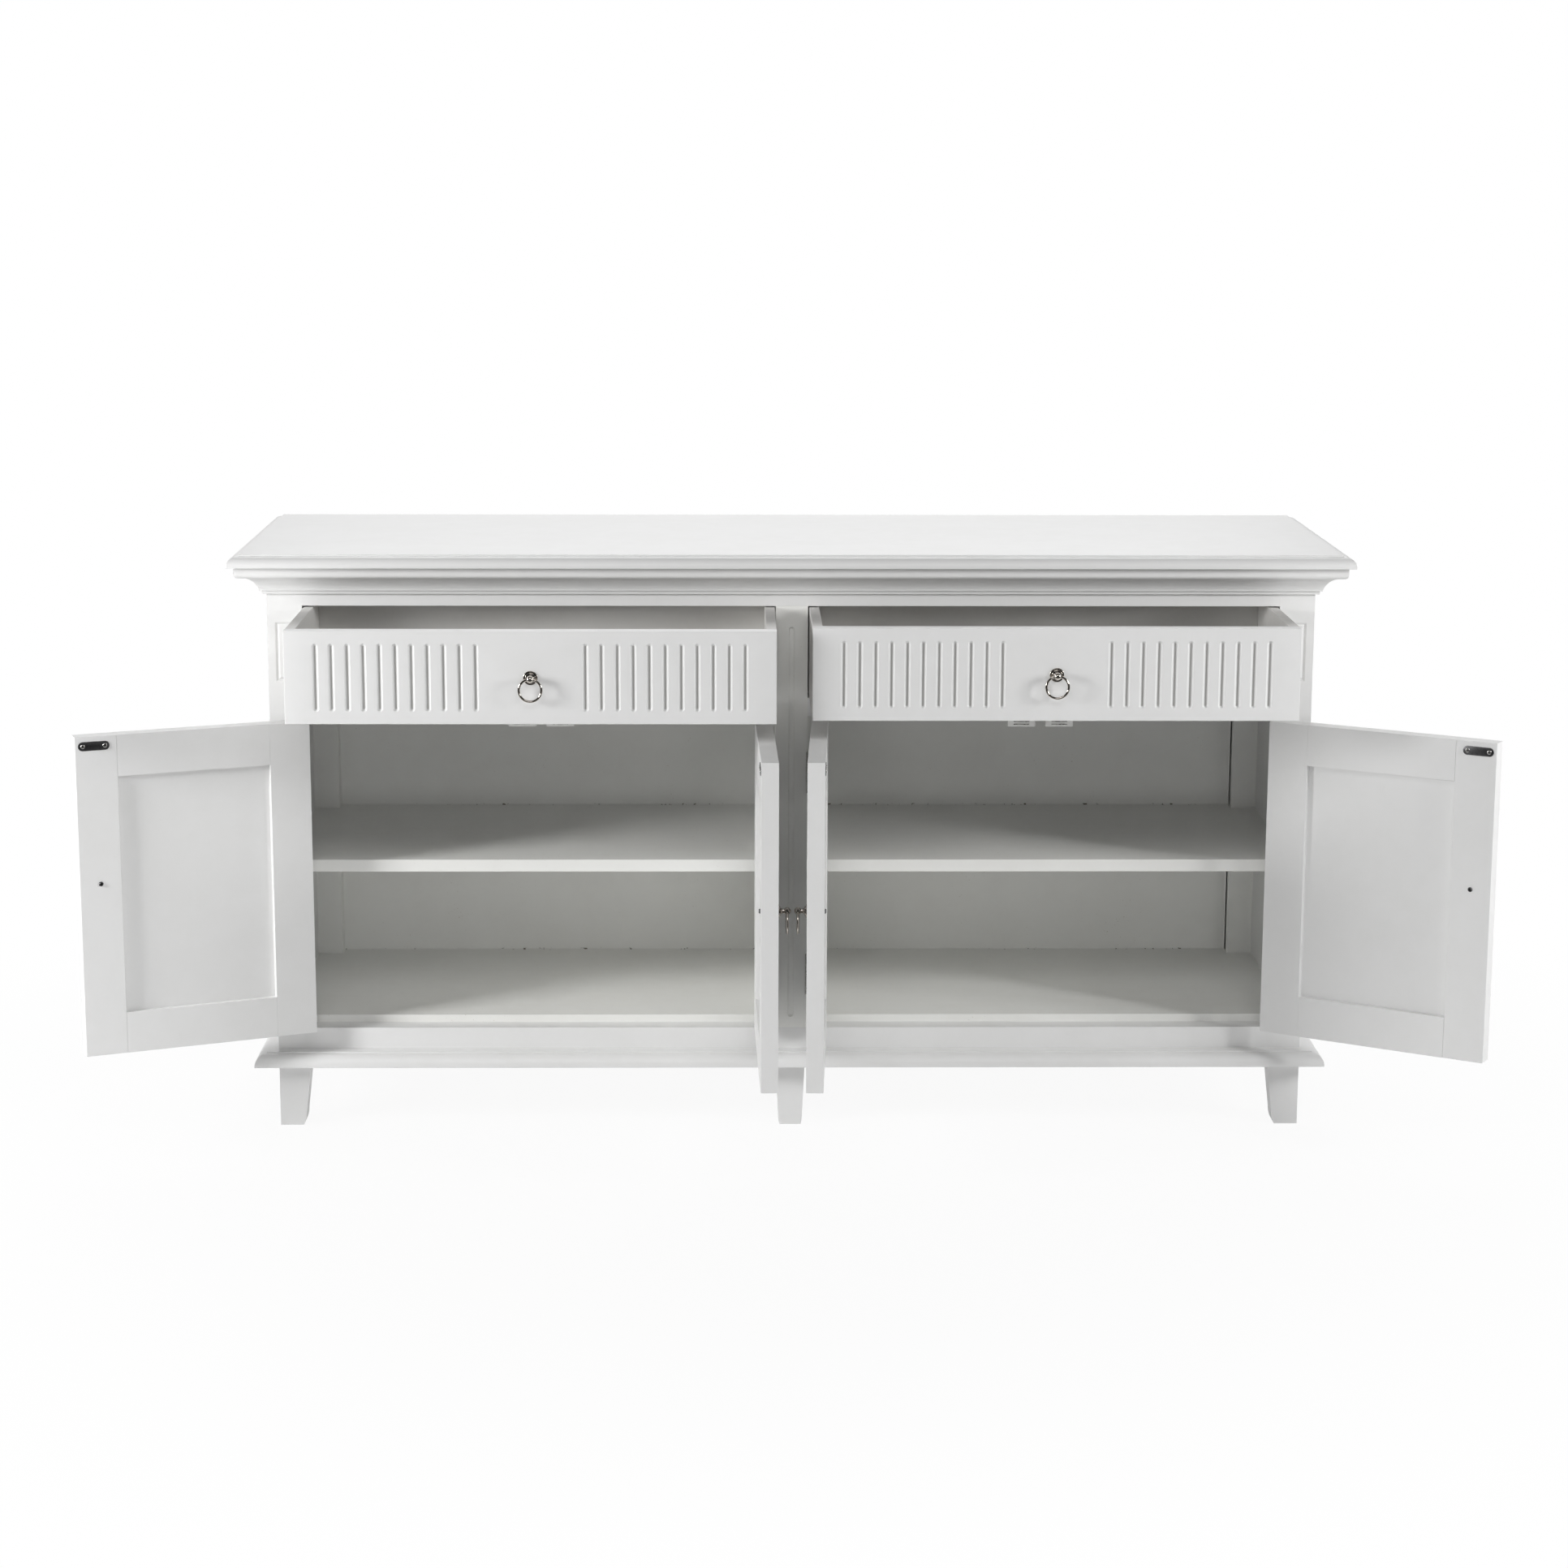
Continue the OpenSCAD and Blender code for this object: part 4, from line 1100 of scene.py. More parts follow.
class BeadTree(GroupTree):
    """Runs an uneven bead of filler along the edges of a wire mesh.

    SCALES gives the cells per metre of its three wanders, and WANDER their reach as a share of the radius.
    """

    NAMES = ("Radius", "Wander", "Step")
    SCALES = (31.0, 37.0, 43.0)
    WANDER = 0.6
    STEP = 7 * MM

    def __init__(self) -> None:
        """Builds the tree."""
        sizes = ((name, "Float") for name in self.NAMES)
        super().__init__("run_bead", (("Path", "Geometry"), *sizes), "Bead")
        graph, given = self.graph, self.given
        radius, wander, step = (given.out(n) for n in self.NAMES)
        curve = graph.node("GeometryNodeMeshToCurve", None, {"Mesh": given.out("Path")})
        even = graph.node("GeometryNodeResampleCurve", {"mode": "LENGTH"}, {"Curve": curve, "Length": step})
        place = graph.node("GeometryNodeInputPosition").out()
        shake = [(noise(graph, place, scale, detail=2.0, rough=0.5) - 0.5) * wander for scale in self.SCALES]
        shift = graph.node("ShaderNodeCombineXYZ", None, dict(enumerate(shake)))
        uneven = graph.node("GeometryNodeSetPosition", None, {"Geometry": even, "Offset": shift})
        width = radius * (0.55 + 0.9 * noise(graph, place, scale=55.0, detail=3.0, rough=0.6))
        section = graph.node("GeometryNodeCurvePrimitiveCircle", {"mode": "RADIUS"},
                             {"Resolution": 8, "Radius": 1.0})
        self.close(graph.node("GeometryNodeCurveToMesh", None,
                              {"Curve": uneven, "Profile Curve": section, "Scale": width, "Fill Caps": True}))

    def run(self, shop: Workshop, paths: Sequence[Sequence[Sequence[float]]], radius: float, finish: Finish,
            name: str, body: str) -> bpy.types.Object:
        """Runs beads along paths and finishes them as one piece.

        Args:
            shop: The workshop.
            paths: The corners of each path.
            radius: Radius of the bead.
            finish: Its finish.
            name: The piece's name.
            body: Its body.

        Returns:
            The piece.
        """
        bm = bmesh.new()
        for path in paths:
            corners = [bm.verts.new(p) for p in path]
            for pair in zip(corners, corners[1:]):
                bm.edges.new(pair)
        holder = holder_of(bm, name + "_path")
        self.put_on(holder, finish, {"Radius": radius, "Wander": self.WANDER * radius, "Step": self.STEP})
        return shop.piece(evaluated(holder), name, finish, body, smooth=60.0)


# Mouldings

@dataclass
class TopBoard:
    """The top board: a slab whose front and side edges carry a quirk and an ovolo."""

    shop: Workshop
    half: float = 750 * MM
    front: float = -14 * MM
    depth: float = 450 * MM
    overhang: float = 50 * MM
    thick: float = 18 * MM
    ovolo: float = 14 * MM
    quirk_w: float = 3 * MM
    quirk_h: float = 2.5 * MM
    corner: float = 1.4 * MM

    def build(self) -> bpy.types.Object:
        """Builds the board.

        Returns:
            The piece.
        """
        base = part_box("top_board")[0].z
        shelf = self.thick - self.quirk_h
        step = self.overhang - self.ovolo - self.quirk_w
        section = rounded_path([(self.overhang - 6 * MM, 0, 0), (self.overhang, 0, 0.5 * MM),
                                (self.overhang, shelf, self.ovolo - 0.02 * MM), (step, shelf, 0.5 * MM),
                                (step, self.thick, 0.9 * MM), (step - 4 * MM, self.thick, 0)], steps=10)
        bm = bmesh.new()
        rings = [[bm.verts.new((x, y, base + z)) for x, y in self.outline(p)] for p, z in section]
        skin(bm, rings, looped=False)
        bm.faces.new(rings[0][::-1])
        bm.faces.new(rings[-1])
        bm.faces.new([ring[0] for ring in rings] + [ring[-1] for ring in reversed(rings)])
        return self.shop.piece(faced(bm), "moulded_top_board", Finish.PAINT, "carcass", ["top_board"],
                               smooth=28.0)

    def outline(self, reach: float) -> list[Point2]:
        """The open outline of the slab, from the back left to the back right.

        Args:
            reach: How far the section stands out from the case there.

        Returns:
            The points.
        """
        side = self.half + reach
        front = self.front - reach
        back = self.front + self.depth
        return rounded_path([(-side, back, 0), (-side, front, self.corner), (side, front, self.corner),
                             (side, back, 0)], steps=4)


@dataclass
class MouldingRun:
    """A moulding round the front and the sides, as three lengths mitred at the corners."""

    shop: Workshop
    node: str
    section: list[Point2]
    base: float
    half: float = 750 * MM
    front: float = -14 * MM
    back: float = 418 * MM
    mitre: float = 0.1 * MM

    def build(self) -> bpy.types.Object:
        """Builds the three lengths.

        Returns:
            The piece.
        """
        def front_end(side: int) -> Placer2:
            """Places the section at one mitre of the front length."""
            return lambda p: Vector((side * (self.half - self.mitre + p[0]), self.front - p[0],
                                     self.base + p[1]))

        def side_end(side: int, back: bool) -> Placer2:
            """Places the section at the mitre or at the back end of a side length."""
            return lambda p: Vector((side * (self.half + p[0]), self.back if back else self.front - p[0],
                                     self.base + p[1]))

        lengths = [prism(self.section, front_end(-1), front_end(1))]
        lengths += [prism(self.section, side_end(s, False), side_end(s, True)) for s in (-1, 1)]
        return self.shop.piece(joined(lengths), self.node + "_run", Finish.PAINT, "carcass", [self.node],
                               smooth=28.0)


def cornice_section(high: float = 42 * MM, reach: float = 40 * MM, band: float = 16 * MM,
                    nose: float = 6 * MM, cove: float = 29 * MM, cove_reach: float = 29 * MM,
                    lip_reach: float = 9 * MM, fillet: float = 5.5 * MM, fillet_high: float = 5 * MM,
                    lip: float = 2 * MM) -> list[Point2]:
    """Section of the cornice, as reach and height.

    Args:
        high: Height.
        reach: Largest reach.
        band: Height of the band at the top.
        nose: Radius of the band's lower corner.
        cove: Radius of the cove.
        cove_reach: Reach at the top of the cove.
        lip_reach: Reach of the lip below the cove.
        fillet: Reach of the fillet at the bottom.
        fillet_high: Height of that fillet.
        lip: Height of the lip.

    Returns:
        The outline, counterclockwise from the lower inner corner.
    """
    foot, head = Vector((lip_reach, fillet_high + lip)), Vector((cove_reach, high - band))
    chord = head - foot
    rise = math.sqrt(cove ** 2 - chord.length_squared / 4)
    centre = (foot + head) / 2 + Vector((chord.y, -chord.x)).normalized() * rise
    start, end = (math.atan2(p.y - centre.y, p.x - centre.x) for p in (foot, head))
    arc = [(centre.x + cove * math.cos(a), centre.y + cove * math.sin(a)) for a in evenly(start, end, 14)]
    lower = rounded_path([(0, 0, 0), (fillet, 0, 0.4 * MM), (fillet, fillet_high, 0.3 * MM),
                          (lip_reach, fillet_high, 0.3 * MM), (lip_reach, foot.y, 0)], steps=3)
    upper = rounded_path([(cove_reach, head.y, 0), (reach, head.y, nose), (reach, high, 0.4 * MM),
                          (0, high, 0)], steps=6)
    return lower + arc[1:-1] + upper


def base_section(high: float = 21 * MM, reach: float = 32 * MM, ovolo: float = 16 * MM,
                 step: float = 1.8 * MM, fall: float = 1 * MM) -> list[Point2]:
    """Section of the base moulding, as reach and height.

    Args:
        high: Height at the body.
        reach: Reach.
        ovolo: Radius of the ovolo.
        step: Height of the step above it.
        fall: Fall of the ledge.

    Returns:
        The outline, counterclockwise from the lower inner corner.
    """
    ledge = reach - ovolo
    top = high - fall - step
    return rounded_path([(0, 0, 0), (reach, 0, 0.4 * MM), (reach, top, ovolo - 0.02 * MM),
                         (ledge, top, 0.2 * MM), (ledge, high - fall, 0.5 * MM), (0, high, 0)], steps=10)


# Ring pulls

@dataclass
class RingPull:
    """A nickel ring pull in the frame of its board: the face is at y = 0 and the ball stands before it."""

    shop: Workshop
    out: float = 12.5 * MM
    ball: float = 5.2 * MM
    eye: float = 2.6 * MM
    rosette: float = 10 * MM
    rosette_t: float = 3.4 * MM
    neck: float = 3.1 * MM
    ring: float = 15.4 * MM
    rod: float = 1.75 * MM
    bolt: float = 3.4 * MM
    bolt_rise: float = 2.2 * MM
    lip: float = 0.45 * MM

    def stem(self) -> BMesh:
        """The rosette and the neck, turned in one piece.

        Returns:
            The closed mesh.
        """
        r, t, n = self.rosette, self.rosette_t, self.neck
        end = self.out - self.ball * 0.7
        profile = rounded_path([
            (0, 0, 0), (r - 0.5 * MM, 0, 0.3 * MM), (r, 0.6 * MM, 0.4 * MM),
            (r - 0.3 * MM, 1.7 * MM, 0.6 * MM), (r - 2.3 * MM, 1.9 * MM, 0.3 * MM),
            (r - 2.7 * MM, 1.7 * MM, 0.2 * MM), (r - 3.0 * MM, t, 0.5 * MM),
            (n + 1.6 * MM, t + 0.5 * MM, 0.6 * MM), (n + 0.2 * MM, t + 2.2 * MM, 1.2 * MM),
            (n, end, 0), (0, end, 0)], steps=6)
        return lathe(profile, 64, lambda x, z, along: Vector((x, -along, z)))

    def knob(self) -> BMesh:
        """The ball, bored through for the ring with softened lips.

        Returns:
            The closed mesh.
        """
        reach = math.acos((self.eye + self.lip) / self.ball)
        outer = [(self.ball * math.cos(a), self.ball * math.sin(a)) for a in evenly(reach, -reach, 28)]
        edge = math.sqrt(self.ball ** 2 - (self.eye + self.lip) ** 2)
        section = outer + [(self.eye + 0.12 * MM, -edge + 0.05 * MM), (self.eye, -edge + self.lip),
                           (self.eye, edge - self.lip), (self.eye + 0.12 * MM, edge - 0.05 * MM)]
        bm = bmesh.new()
        loops = [[bm.verts.new((x, -self.out + r * math.cos(a), r * math.sin(a))) for r, x in section]
                 for a in spokes(40)]
        skin(bm, loops, round_trip=True)
        return faced(bm)

    def build(self, place: Matrix, thick: float, prefix: str, body: str, fasteners: FastenerTree,
              seed: int) -> None:
        """Builds the mount, the ring and the head of the bolt.

        Args:
            place: Moves the pull's frame, with the ball in front of the origin, to its board.
            thick: Thickness of the board.
            prefix: Start of the names.
            body: Body of the board.
            fasteners: The tree that sets heads.
            seed: Seed of the bolt's turn.
        """
        mount = moved(joined([self.stem(), self.knob()]), place)
        self.shop.piece(mount, prefix + "_turned_mount", Finish.NICKEL, body, [prefix + "_pull_mount"],
                        smooth=30.0)
        hoop = ring_of(Vector((0, -self.out, -self.ring)), Vector((1, 0, 0)), Vector((0, 0, 1)),
                       self.ring, self.rod, 96, 20)
        self.shop.piece(moved(hoop, place), prefix + "_nickel_ring", Finish.NICKEL, prefix + "_ring",
                        [prefix + "_ring"], smooth=60.0)
        spot = place @ Vector((0, thick + 0.5 * MM, 0))
        facing = (place.to_3x3() @ Vector((0, 1, 0))).normalized()
        bolt = Fastener(radius=self.bolt, dome=self.bolt_rise * 0.75, finish=Finish.DARK, recess=0.6,
                        arm=0.17)
        fasteners.set(self.shop, bolt, [(spot, facing)], prefix + "_pull_bolt", body, seed)


# Doors

@dataclass
class StrikePlate:
    """A dark steel strike with round ends and two screws, in the frame of its door."""

    shop: Workshop
    long: float = 44 * MM
    wide: float = 12.5 * MM
    thick: float = 1 * MM
    end: float = 26.5 * MM
    top: float = 7.2 * MM
    screws: float = 31 * MM
    edge: float = 0.3 * MM
    seed: int = 7

    def build(self, door: "Door", fasteners: FastenerTree) -> None:
        """Builds the plate and its screws.

        Args:
            door: The door that carries it.
            fasteners: The tree that sets heads.
        """
        centre = Vector((door.width - self.end, 0, door.height - self.top - self.wide / 2))
        face = door.thick

        def layer(inset: float) -> list[Point2]:
            """The plate's outline, drawn in by an amount.

            Args:
                inset: The amount.

            Returns:
                The points in order.
            """
            r = self.wide / 2 - inset
            half = (self.long - self.wide) / 2
            return [(side * half + r * math.cos(a), r * math.sin(a)) for side in (-1, 1)
                    for a in evenly(-side * math.pi / 2, math.pi - side * math.pi / 2, 16)]

        bm = bmesh.new()
        bend = self.edge * 0.3
        levels = ((0, -0.2 * MM), (0, self.thick - self.edge), (bend, self.thick - bend),
                  (self.edge, self.thick))
        rings = [[bm.verts.new((centre.x + x, face + rise, centre.z + z)) for x, z in layer(inset)]
                 for inset, rise in levels]
        skin(bm, rings)
        bm.faces.new(rings[0])
        bm.faces.new(rings[-1])
        self.shop.piece(moved(faced(bm), door.place), door.name + "_strike", Finish.DARK, door.name,
                        [door.name + "_strike_plate"], smooth=30.0)
        screw = Fastener(radius=3.1 * MM, dome=0.75 * MM, finish=Finish.STEEL, recess=0.62, arm=0.17)
        spots = [(door.place @ Vector((centre.x + s * self.screws / 2, face + self.thick, centre.z)),
                  door.inward()) for s in (-1, 1)]
        fasteners.set(self.shop, screw, spots, door.name + "_strike_screws", door.name, self.seed)


@dataclass
class ButtHinge:
    """A small butt hinge in the frame of its door: two leaves, three knuckles, a pin with a round tip.

    STAGGER gives how far the screws stand on a leaf, by turns, as shares of its reach.
    """

    shop: Workshop
    high: float = 60 * MM
    thick: float = 0.9 * MM
    reach: float = 18 * MM
    inset: float = 50 * MM
    knuckle: float = 3 * MM
    gap: float = 0.3 * MM
    pin: float = 1.5 * MM
    pin_out: float = 5 * MM
    door_gap: float = 2 * MM
    holes: tuple[float, ...] = (0.17, 0.5, 0.83)
    seed: int = 11

    STAGGER = (0.45, 0.75)

    def leaf(self, x: float, z: float, cuts: Sequence[tuple[float, float]]) -> list[BMesh]:
        """One leaf: the plate on the edge and the tongues that run to its knuckles.

        Args:
            x: Lower face of the plate.
            z: Bottom of the hinge.
            cuts: (from, to) of the knuckles that belong to the leaf, above z.

        Returns:
            The shells.
        """
        root = -self.pin_out + self.knuckle + self.gap
        parts = [eased_box((x, root, z), (x + self.thick, self.reach, z + self.high), 0.2 * MM)]
        for low, high in cuts:
            tongue = (x + self.thick, root + 1 * MM, z + high)
            parts.append(eased_box((x, -self.pin_out, z + low), tongue, 0.1 * MM))
            parts.append(self.barrel(z + low, z + high))
        return parts

    def round_pin(self, x: float, y: float, along: float) -> Vector:
        """A place measured from the axis of the pin, in the frame of the door."""
        return Vector((x - self.door_gap / 2, y - self.pin_out, along))

    def barrel(self, low: float, high: float) -> BMesh:
        """One knuckle, rolled round the pin.

        Args:
            low: Its bottom.
            high: Its top.

        Returns:
            The closed mesh.
        """
        r, soft = self.knuckle, 0.25 * MM
        profile = [(self.pin, low), (r - soft, low), (r, low + soft), (r, high - soft), (r - soft, high),
                   (self.pin, high)]
        bm = bmesh.new()
        loops = [[bm.verts.new(self.round_pin(r * math.cos(a), r * math.sin(a), z)) for a in spokes(28)]
                 for r, z in profile]
        skin(bm, loops, round_trip=True)
        return faced(bm)

    def peg(self, z: float) -> BMesh:
        """One pin: a flat foot, the shank and a round tip.

        Args:
            z: Bottom of the hinge.

        Returns:
            The closed mesh.
        """
        cap, top = self.knuckle, z + self.high
        profile = [(0, z - 0.9 * MM), (cap * 0.45, z - 0.75 * MM), (cap * 0.8, z - 0.3 * MM), (cap * 0.8, z),
                   (self.pin, z), (self.pin, top), (cap * 0.9, top), (cap * 0.9, top + 0.4 * MM),
                   (cap * 0.6, top + 1.1 * MM), (0, top + 1.4 * MM)]
        return lathe(profile, 24, self.round_pin)

    def build(self, door: "Door", fasteners: FastenerTree) -> None:
        """Builds both hinges of a door.

        Args:
            door: The door.
            fasteners: The tree that sets heads.
        """
        third = (self.high - 2 * self.gap) / 3
        rows = (self.inset, door.height - self.inset - self.high)
        outer = ((0.0, third), (self.high - third, self.high))
        middle = ((third + self.gap, 2 * third + self.gap),)
        moving = [part for z in rows for part in self.leaf(-self.thick, z, middle)]
        fixed = [part for z in rows for part in self.leaf(-self.door_gap, z, outer)]
        pins = [self.peg(z) for z in rows]
        for parts, place, name, body, node in (
                (moving, door.place, "_leaves", door.name, door.name + "_hinge_leaves"),
                (fixed, door.closed, "_post_leaves", "carcass", "fixed_hinge_leaves"),
                (pins, door.closed, "_hinge_pins", "carcass", "hinge_pins")):
            self.shop.piece(moved(joined(parts), place), door.name + name, Finish.STEEL, body, [node],
                            smooth=35.0)
        screw = Fastener(radius=2.6 * MM, dome=0.12 * MM, finish=Finish.STEEL, recess=0.6, arm=0.16, deep=0.5)
        spots = [(z + share * self.high, self.STAGGER[i % 2]) for z in rows
                 for i, share in enumerate(self.holes)]
        away, toward = (side.to_3x3() @ Vector((x, 0, 0)) for side, x in ((door.place, -1), (door.closed, 1)))
        swing = [(door.place @ Vector((-self.thick, self.reach * y, z)), away) for z, y in spots]
        stay = [(door.closed @ Vector((self.thick - self.door_gap, self.reach * (sum(self.STAGGER) - y), z)),
                 toward) for z, y in spots]
        fasteners.set(self.shop, screw, swing, door.name + "_leaf_screws", door.name, self.seed)
        fasteners.set(self.shop, screw, stay, door.name + "_post_leaf_screws", "carcass", self.seed + 1)


@dataclass
class Door:
    """A framed door: two stiles, two rails and a panel, with its strike, hinges and ring pull."""

    shop: Workshop
    timber: EasedTimber
    name: str
    gap: float = 2 * MM
    pin_out: float = 5 * MM
    place: Matrix = field(init=False)
    closed: Matrix = field(init=False)
    width: float = field(init=False)
    height: float = field(init=False)
    thick: float = field(init=False)

    ARRISES = (("stiles", 0.9 * MM), ("rails", 0.9 * MM), ("panel", 0.4 * MM))

    def __post_init__(self) -> None:
        """Finds the door's place from its hinge and its size from its stiles."""
        hinge = joint_of(self.name + "_hinge")
        side = -round(hinge["axis"][2])
        pin = Vector(hinge["pos_m"])
        pin.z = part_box(self.name + "_stiles")[0].z
        mirror = Matrix.Diagonal((side, 1, 1, 1)) @ Matrix.Translation((self.gap / 2, self.pin_out, 0))
        swing = Matrix.Rotation(math.radians(side * hinge["range_deg"][0]), 4, "Z")
        self.closed = Matrix.Translation(pin) @ mirror
        self.place = Matrix.Translation(pin) @ swing @ mirror
        back = self.place.inverted()
        points = [back @ v.co for v in frame["nodes"][self.name + "_stiles"].data.vertices]
        self.width, self.thick, self.height = (max(p[i] for p in points) for i in range(3))

    def inward(self) -> Vector:
        """The direction that the door's inner face looks."""
        return (self.place.to_3x3() @ Vector((0, 1, 0))).normalized()

    def build(self, fasteners: FastenerTree, seed: int) -> None:
        """Builds the door.

        Args:
            fasteners: The tree that sets heads.
            seed: Seed of the bolt's turn.
        """
        turn = self.place.to_3x3()
        for part, arris in self.ARRISES:
            self.timber.build(f"{self.name}_{part}", self.name, Finish.PAINT, arris, turn)
        StrikePlate(self.shop).build(self, fasteners)
        ButtHinge(self.shop).build(self, fasteners)
        ball = self.place.inverted() @ Vector(joint_of(self.name + "_ring_swing")["pos_m"])
        pull = RingPull(self.shop)
        pull.build(self.place @ Matrix.Translation((ball.x, 0, ball.z)), self.thick, self.name, self.name,
                   fasteners, seed)


# Drawers

class FluteTree(GroupTree):
    """Presses two groups of round-ended flutes into a gridded face, and marks their bottoms for painted shade.

    LIP scales the fall of the softened lips, and SHADED_SHARE is the share of a flute's width that gets painted
    shade.
    """

    NAMES = ("Width", "Height", "Arris", "End", "Pitch", "Radius", "Depth", "Margin", "Soft", "Flutes")
    LIP = 0.35
    SHADED_SHARE = 0.5

    def __init__(self) -> None:
        """Builds the tree."""
        sizes = ((name, "Float") for name in self.NAMES)
        super().__init__("press_flutes", (("Board", "Geometry"), *sizes), "Board")
        graph, given = self.graph, self.given
        width, height, arris, end, pitch, radius, depth, margin, soft, flutes = map(given.out, self.NAMES)
        split = graph.node("ShaderNodeSeparateXYZ", None, {0: graph.node("GeometryNodeInputPosition")})
        x, y, z = (split.out(i) for i in range(3))
        mirrored = x.lesser(width - x)
        step = ((mirrored - end) / pitch).whole().greater(0.0).lesser(flutes - 1.0)
        across = (mirrored - end - step * pitch).size()
        half = (radius * radius - (radius - depth) * (radius - depth)).root()
        above = (z - (height - margin - half)).greater(0.0)
        below = (margin + half - z).greater(0.0)
        rim = (across * across + (above + below) * (above + below)).root()
        sunk = (radius * radius - rim * rim).root() - (radius - depth)
        blend = ((half - rim) / soft + 1.0).greater(0.0).lesser(2.0) * 0.5
        pressed = sunk.greater(0.0) + soft * self.LIP * (blend * (1.0 - blend))
        # Painted shade: strongest along each flute's middle, fading out towards its walls.
        painted_shade = (1.0 - rim / (half * self.SHADED_SHARE)).greater(0.0)
        marked = graph.node("GeometryNodeStoreNamedAttribute", {"data_type": "FLOAT", "domain": "POINT"},
                            {"Geometry": given.out("Board"), "Name": FLUTE_SHADE_MARK, "Value": painted_shade})
        edge = mirrored.lesser(z).lesser(height - z)
        inner = (arris - edge).greater(0.0)
        rounded = arris - (arris * arris - inner * inner).root()
        on_face = 1.0 - (y / arris - 0.5).greater(0.0).ramp(0.0, 0.01)
        shift = graph.node("ShaderNodeCombineXYZ", None, {1: (pressed + rounded) * on_face})
        self.close(graph.node("GeometryNodeSetPosition", None, {"Geometry": marked, "Offset": shift}))


@dataclass
class DrawerFront:
    """A drawer front with two groups of flutes, sockets for lapped dovetails and a groove for the bottom.

    ROOT and TIP are half the width of a tail at its root and at its tip, as shares of the tails' spacing.
    HALF_FLUTE gives the grid's lines over half a flute, as shares of that half.
    """

    shop: Workshop
    tree: FluteTree
    thick: float = 22 * MM
    flutes: int = 11
    pitch: float = 21.85 * MM
    end: float = 43 * MM
    margin: float = 17.5 * MM
    radius: float = 4.6 * MM
    depth: float = 2.9 * MM
    arris: float = 1.1 * MM
    soft: float = 0.6 * MM
    lap: float = 8 * MM
    side_t: float = 14 * MM
    tails: int = 3
    bottom_z: float = 12 * MM
    bottom_t: float = 6 * MM
    groove: float = 6 * MM
    fit: float = 0.1 * MM
    clear: float = 8 * MM

    ROOT = 0.28
    TIP = 0.36
    HALF_FLUTE = (0.22, 0.45, 0.62, 0.74, 0.81, 0.87, 0.93, 1)

    def half_width(self) -> float:
        """Half the width of a flute at the face."""
        return math.sqrt(self.radius ** 2 - (self.radius - self.depth) ** 2)

    def lines(self, width: float) -> list[float]:
        """Where the face's grid has lines across its width: close together in the flutes and the arrises.

        Args:
            width: Width of the front.

        Returns:
            The places in order.
        """
        shares = [-t for t in reversed(self.HALF_FLUTE)] + [0, *self.HALF_FLUTE]
        reach = self.half_width() + 0.7 * self.soft
        marks = self.corner_lines()
        for i in range(self.flutes):
            marks += [self.end + i * self.pitch + reach * t for t in shares]
        return marks + [width - m for m in reversed(marks)]

    def rows(self, height: float) -> list[float]:
        """Where the grid has lines up its height.

        Args:
            height: Height of the front.

        Returns:
            The places in order.
        """
        low = self.margin - 0.8 * MM
        marks = self.corner_lines() + evenly(low, low + self.half_width() + 1.2 * MM, 11)
        return marks + [height - m for m in reversed(marks)]

    def corner_lines(self) -> list[float]:
        """Lines in the rounded arris."""
        return [self.arris * (1 - math.cos(a)) for a in evenly(0, math.pi / 2, 4)]

    def board(self, width: float, height: float) -> BMesh:
        """The closed board with its gridded face, in its own frame.

        Args:
            width: Width of the front.
            height: Height of the front.

        Returns:
            The closed mesh.
        """
        xs, zs = self.lines(width), self.rows(height)
        bm = bmesh.new()
        grid = [[bm.verts.new((x, 0, z)) for x in xs] for z in zs]
        skin(bm, grid, looped=False)
        corners = ((0, 0), (width, 0), (width, height), (0, height))
        a, b, c, d = (bm.verts.new((x, self.thick, z)) for x, z in corners)
        bm.faces.new(grid[0][::-1] + [a, b])
        bm.faces.new(grid[-1] + [c, d])
        bm.faces.new([row[0] for row in grid] + [d, a])
        bm.faces.new([row[-1] for row in reversed(grid)] + [b, c])
        bm.faces.new((d, c, b, a))
        return faced(bm)

    def cutters(self, width: float, height: float) -> BMesh:
        """Everything that is cut out of the board: sockets at both ends and the groove.

        Args:
            width: Width of the front.
            height: Height of the front.

        Returns:
            The cutters as closed shells.
        """
        step, over = height / self.tails, 1 * MM
        root, tip = step * self.ROOT + self.fit, step * self.TIP + self.fit
        near, deep, face = self.lap - self.fit, self.thick - self.groove, self.thick + over

        def bar(outline: list[Point2], low: float, high: float) -> BMesh:
            """A cutter that runs along the board."""
            return prism(outline, lambda p: Vector((low, *p)), lambda p: Vector((high, *p)))

        parts = []
        for low, high in ((-over, self.side_t + self.fit), (width - self.side_t - self.fit, width + over)):
            for i in range(self.tails):
                middle = step * (i + 0.5)
                parts.append(bar([(near, middle - tip), (face, middle - root), (face, middle + root),
                                  (near, middle + tip)], low, high))
        start = self.side_t - self.groove + self.clear
        under, above = self.bottom_z - self.fit, self.bottom_z + self.bottom_t + self.fit
        parts.append(bar([(deep, under), (face, under), (face, above), (deep, above)], start, width - start))
        return joined(parts)

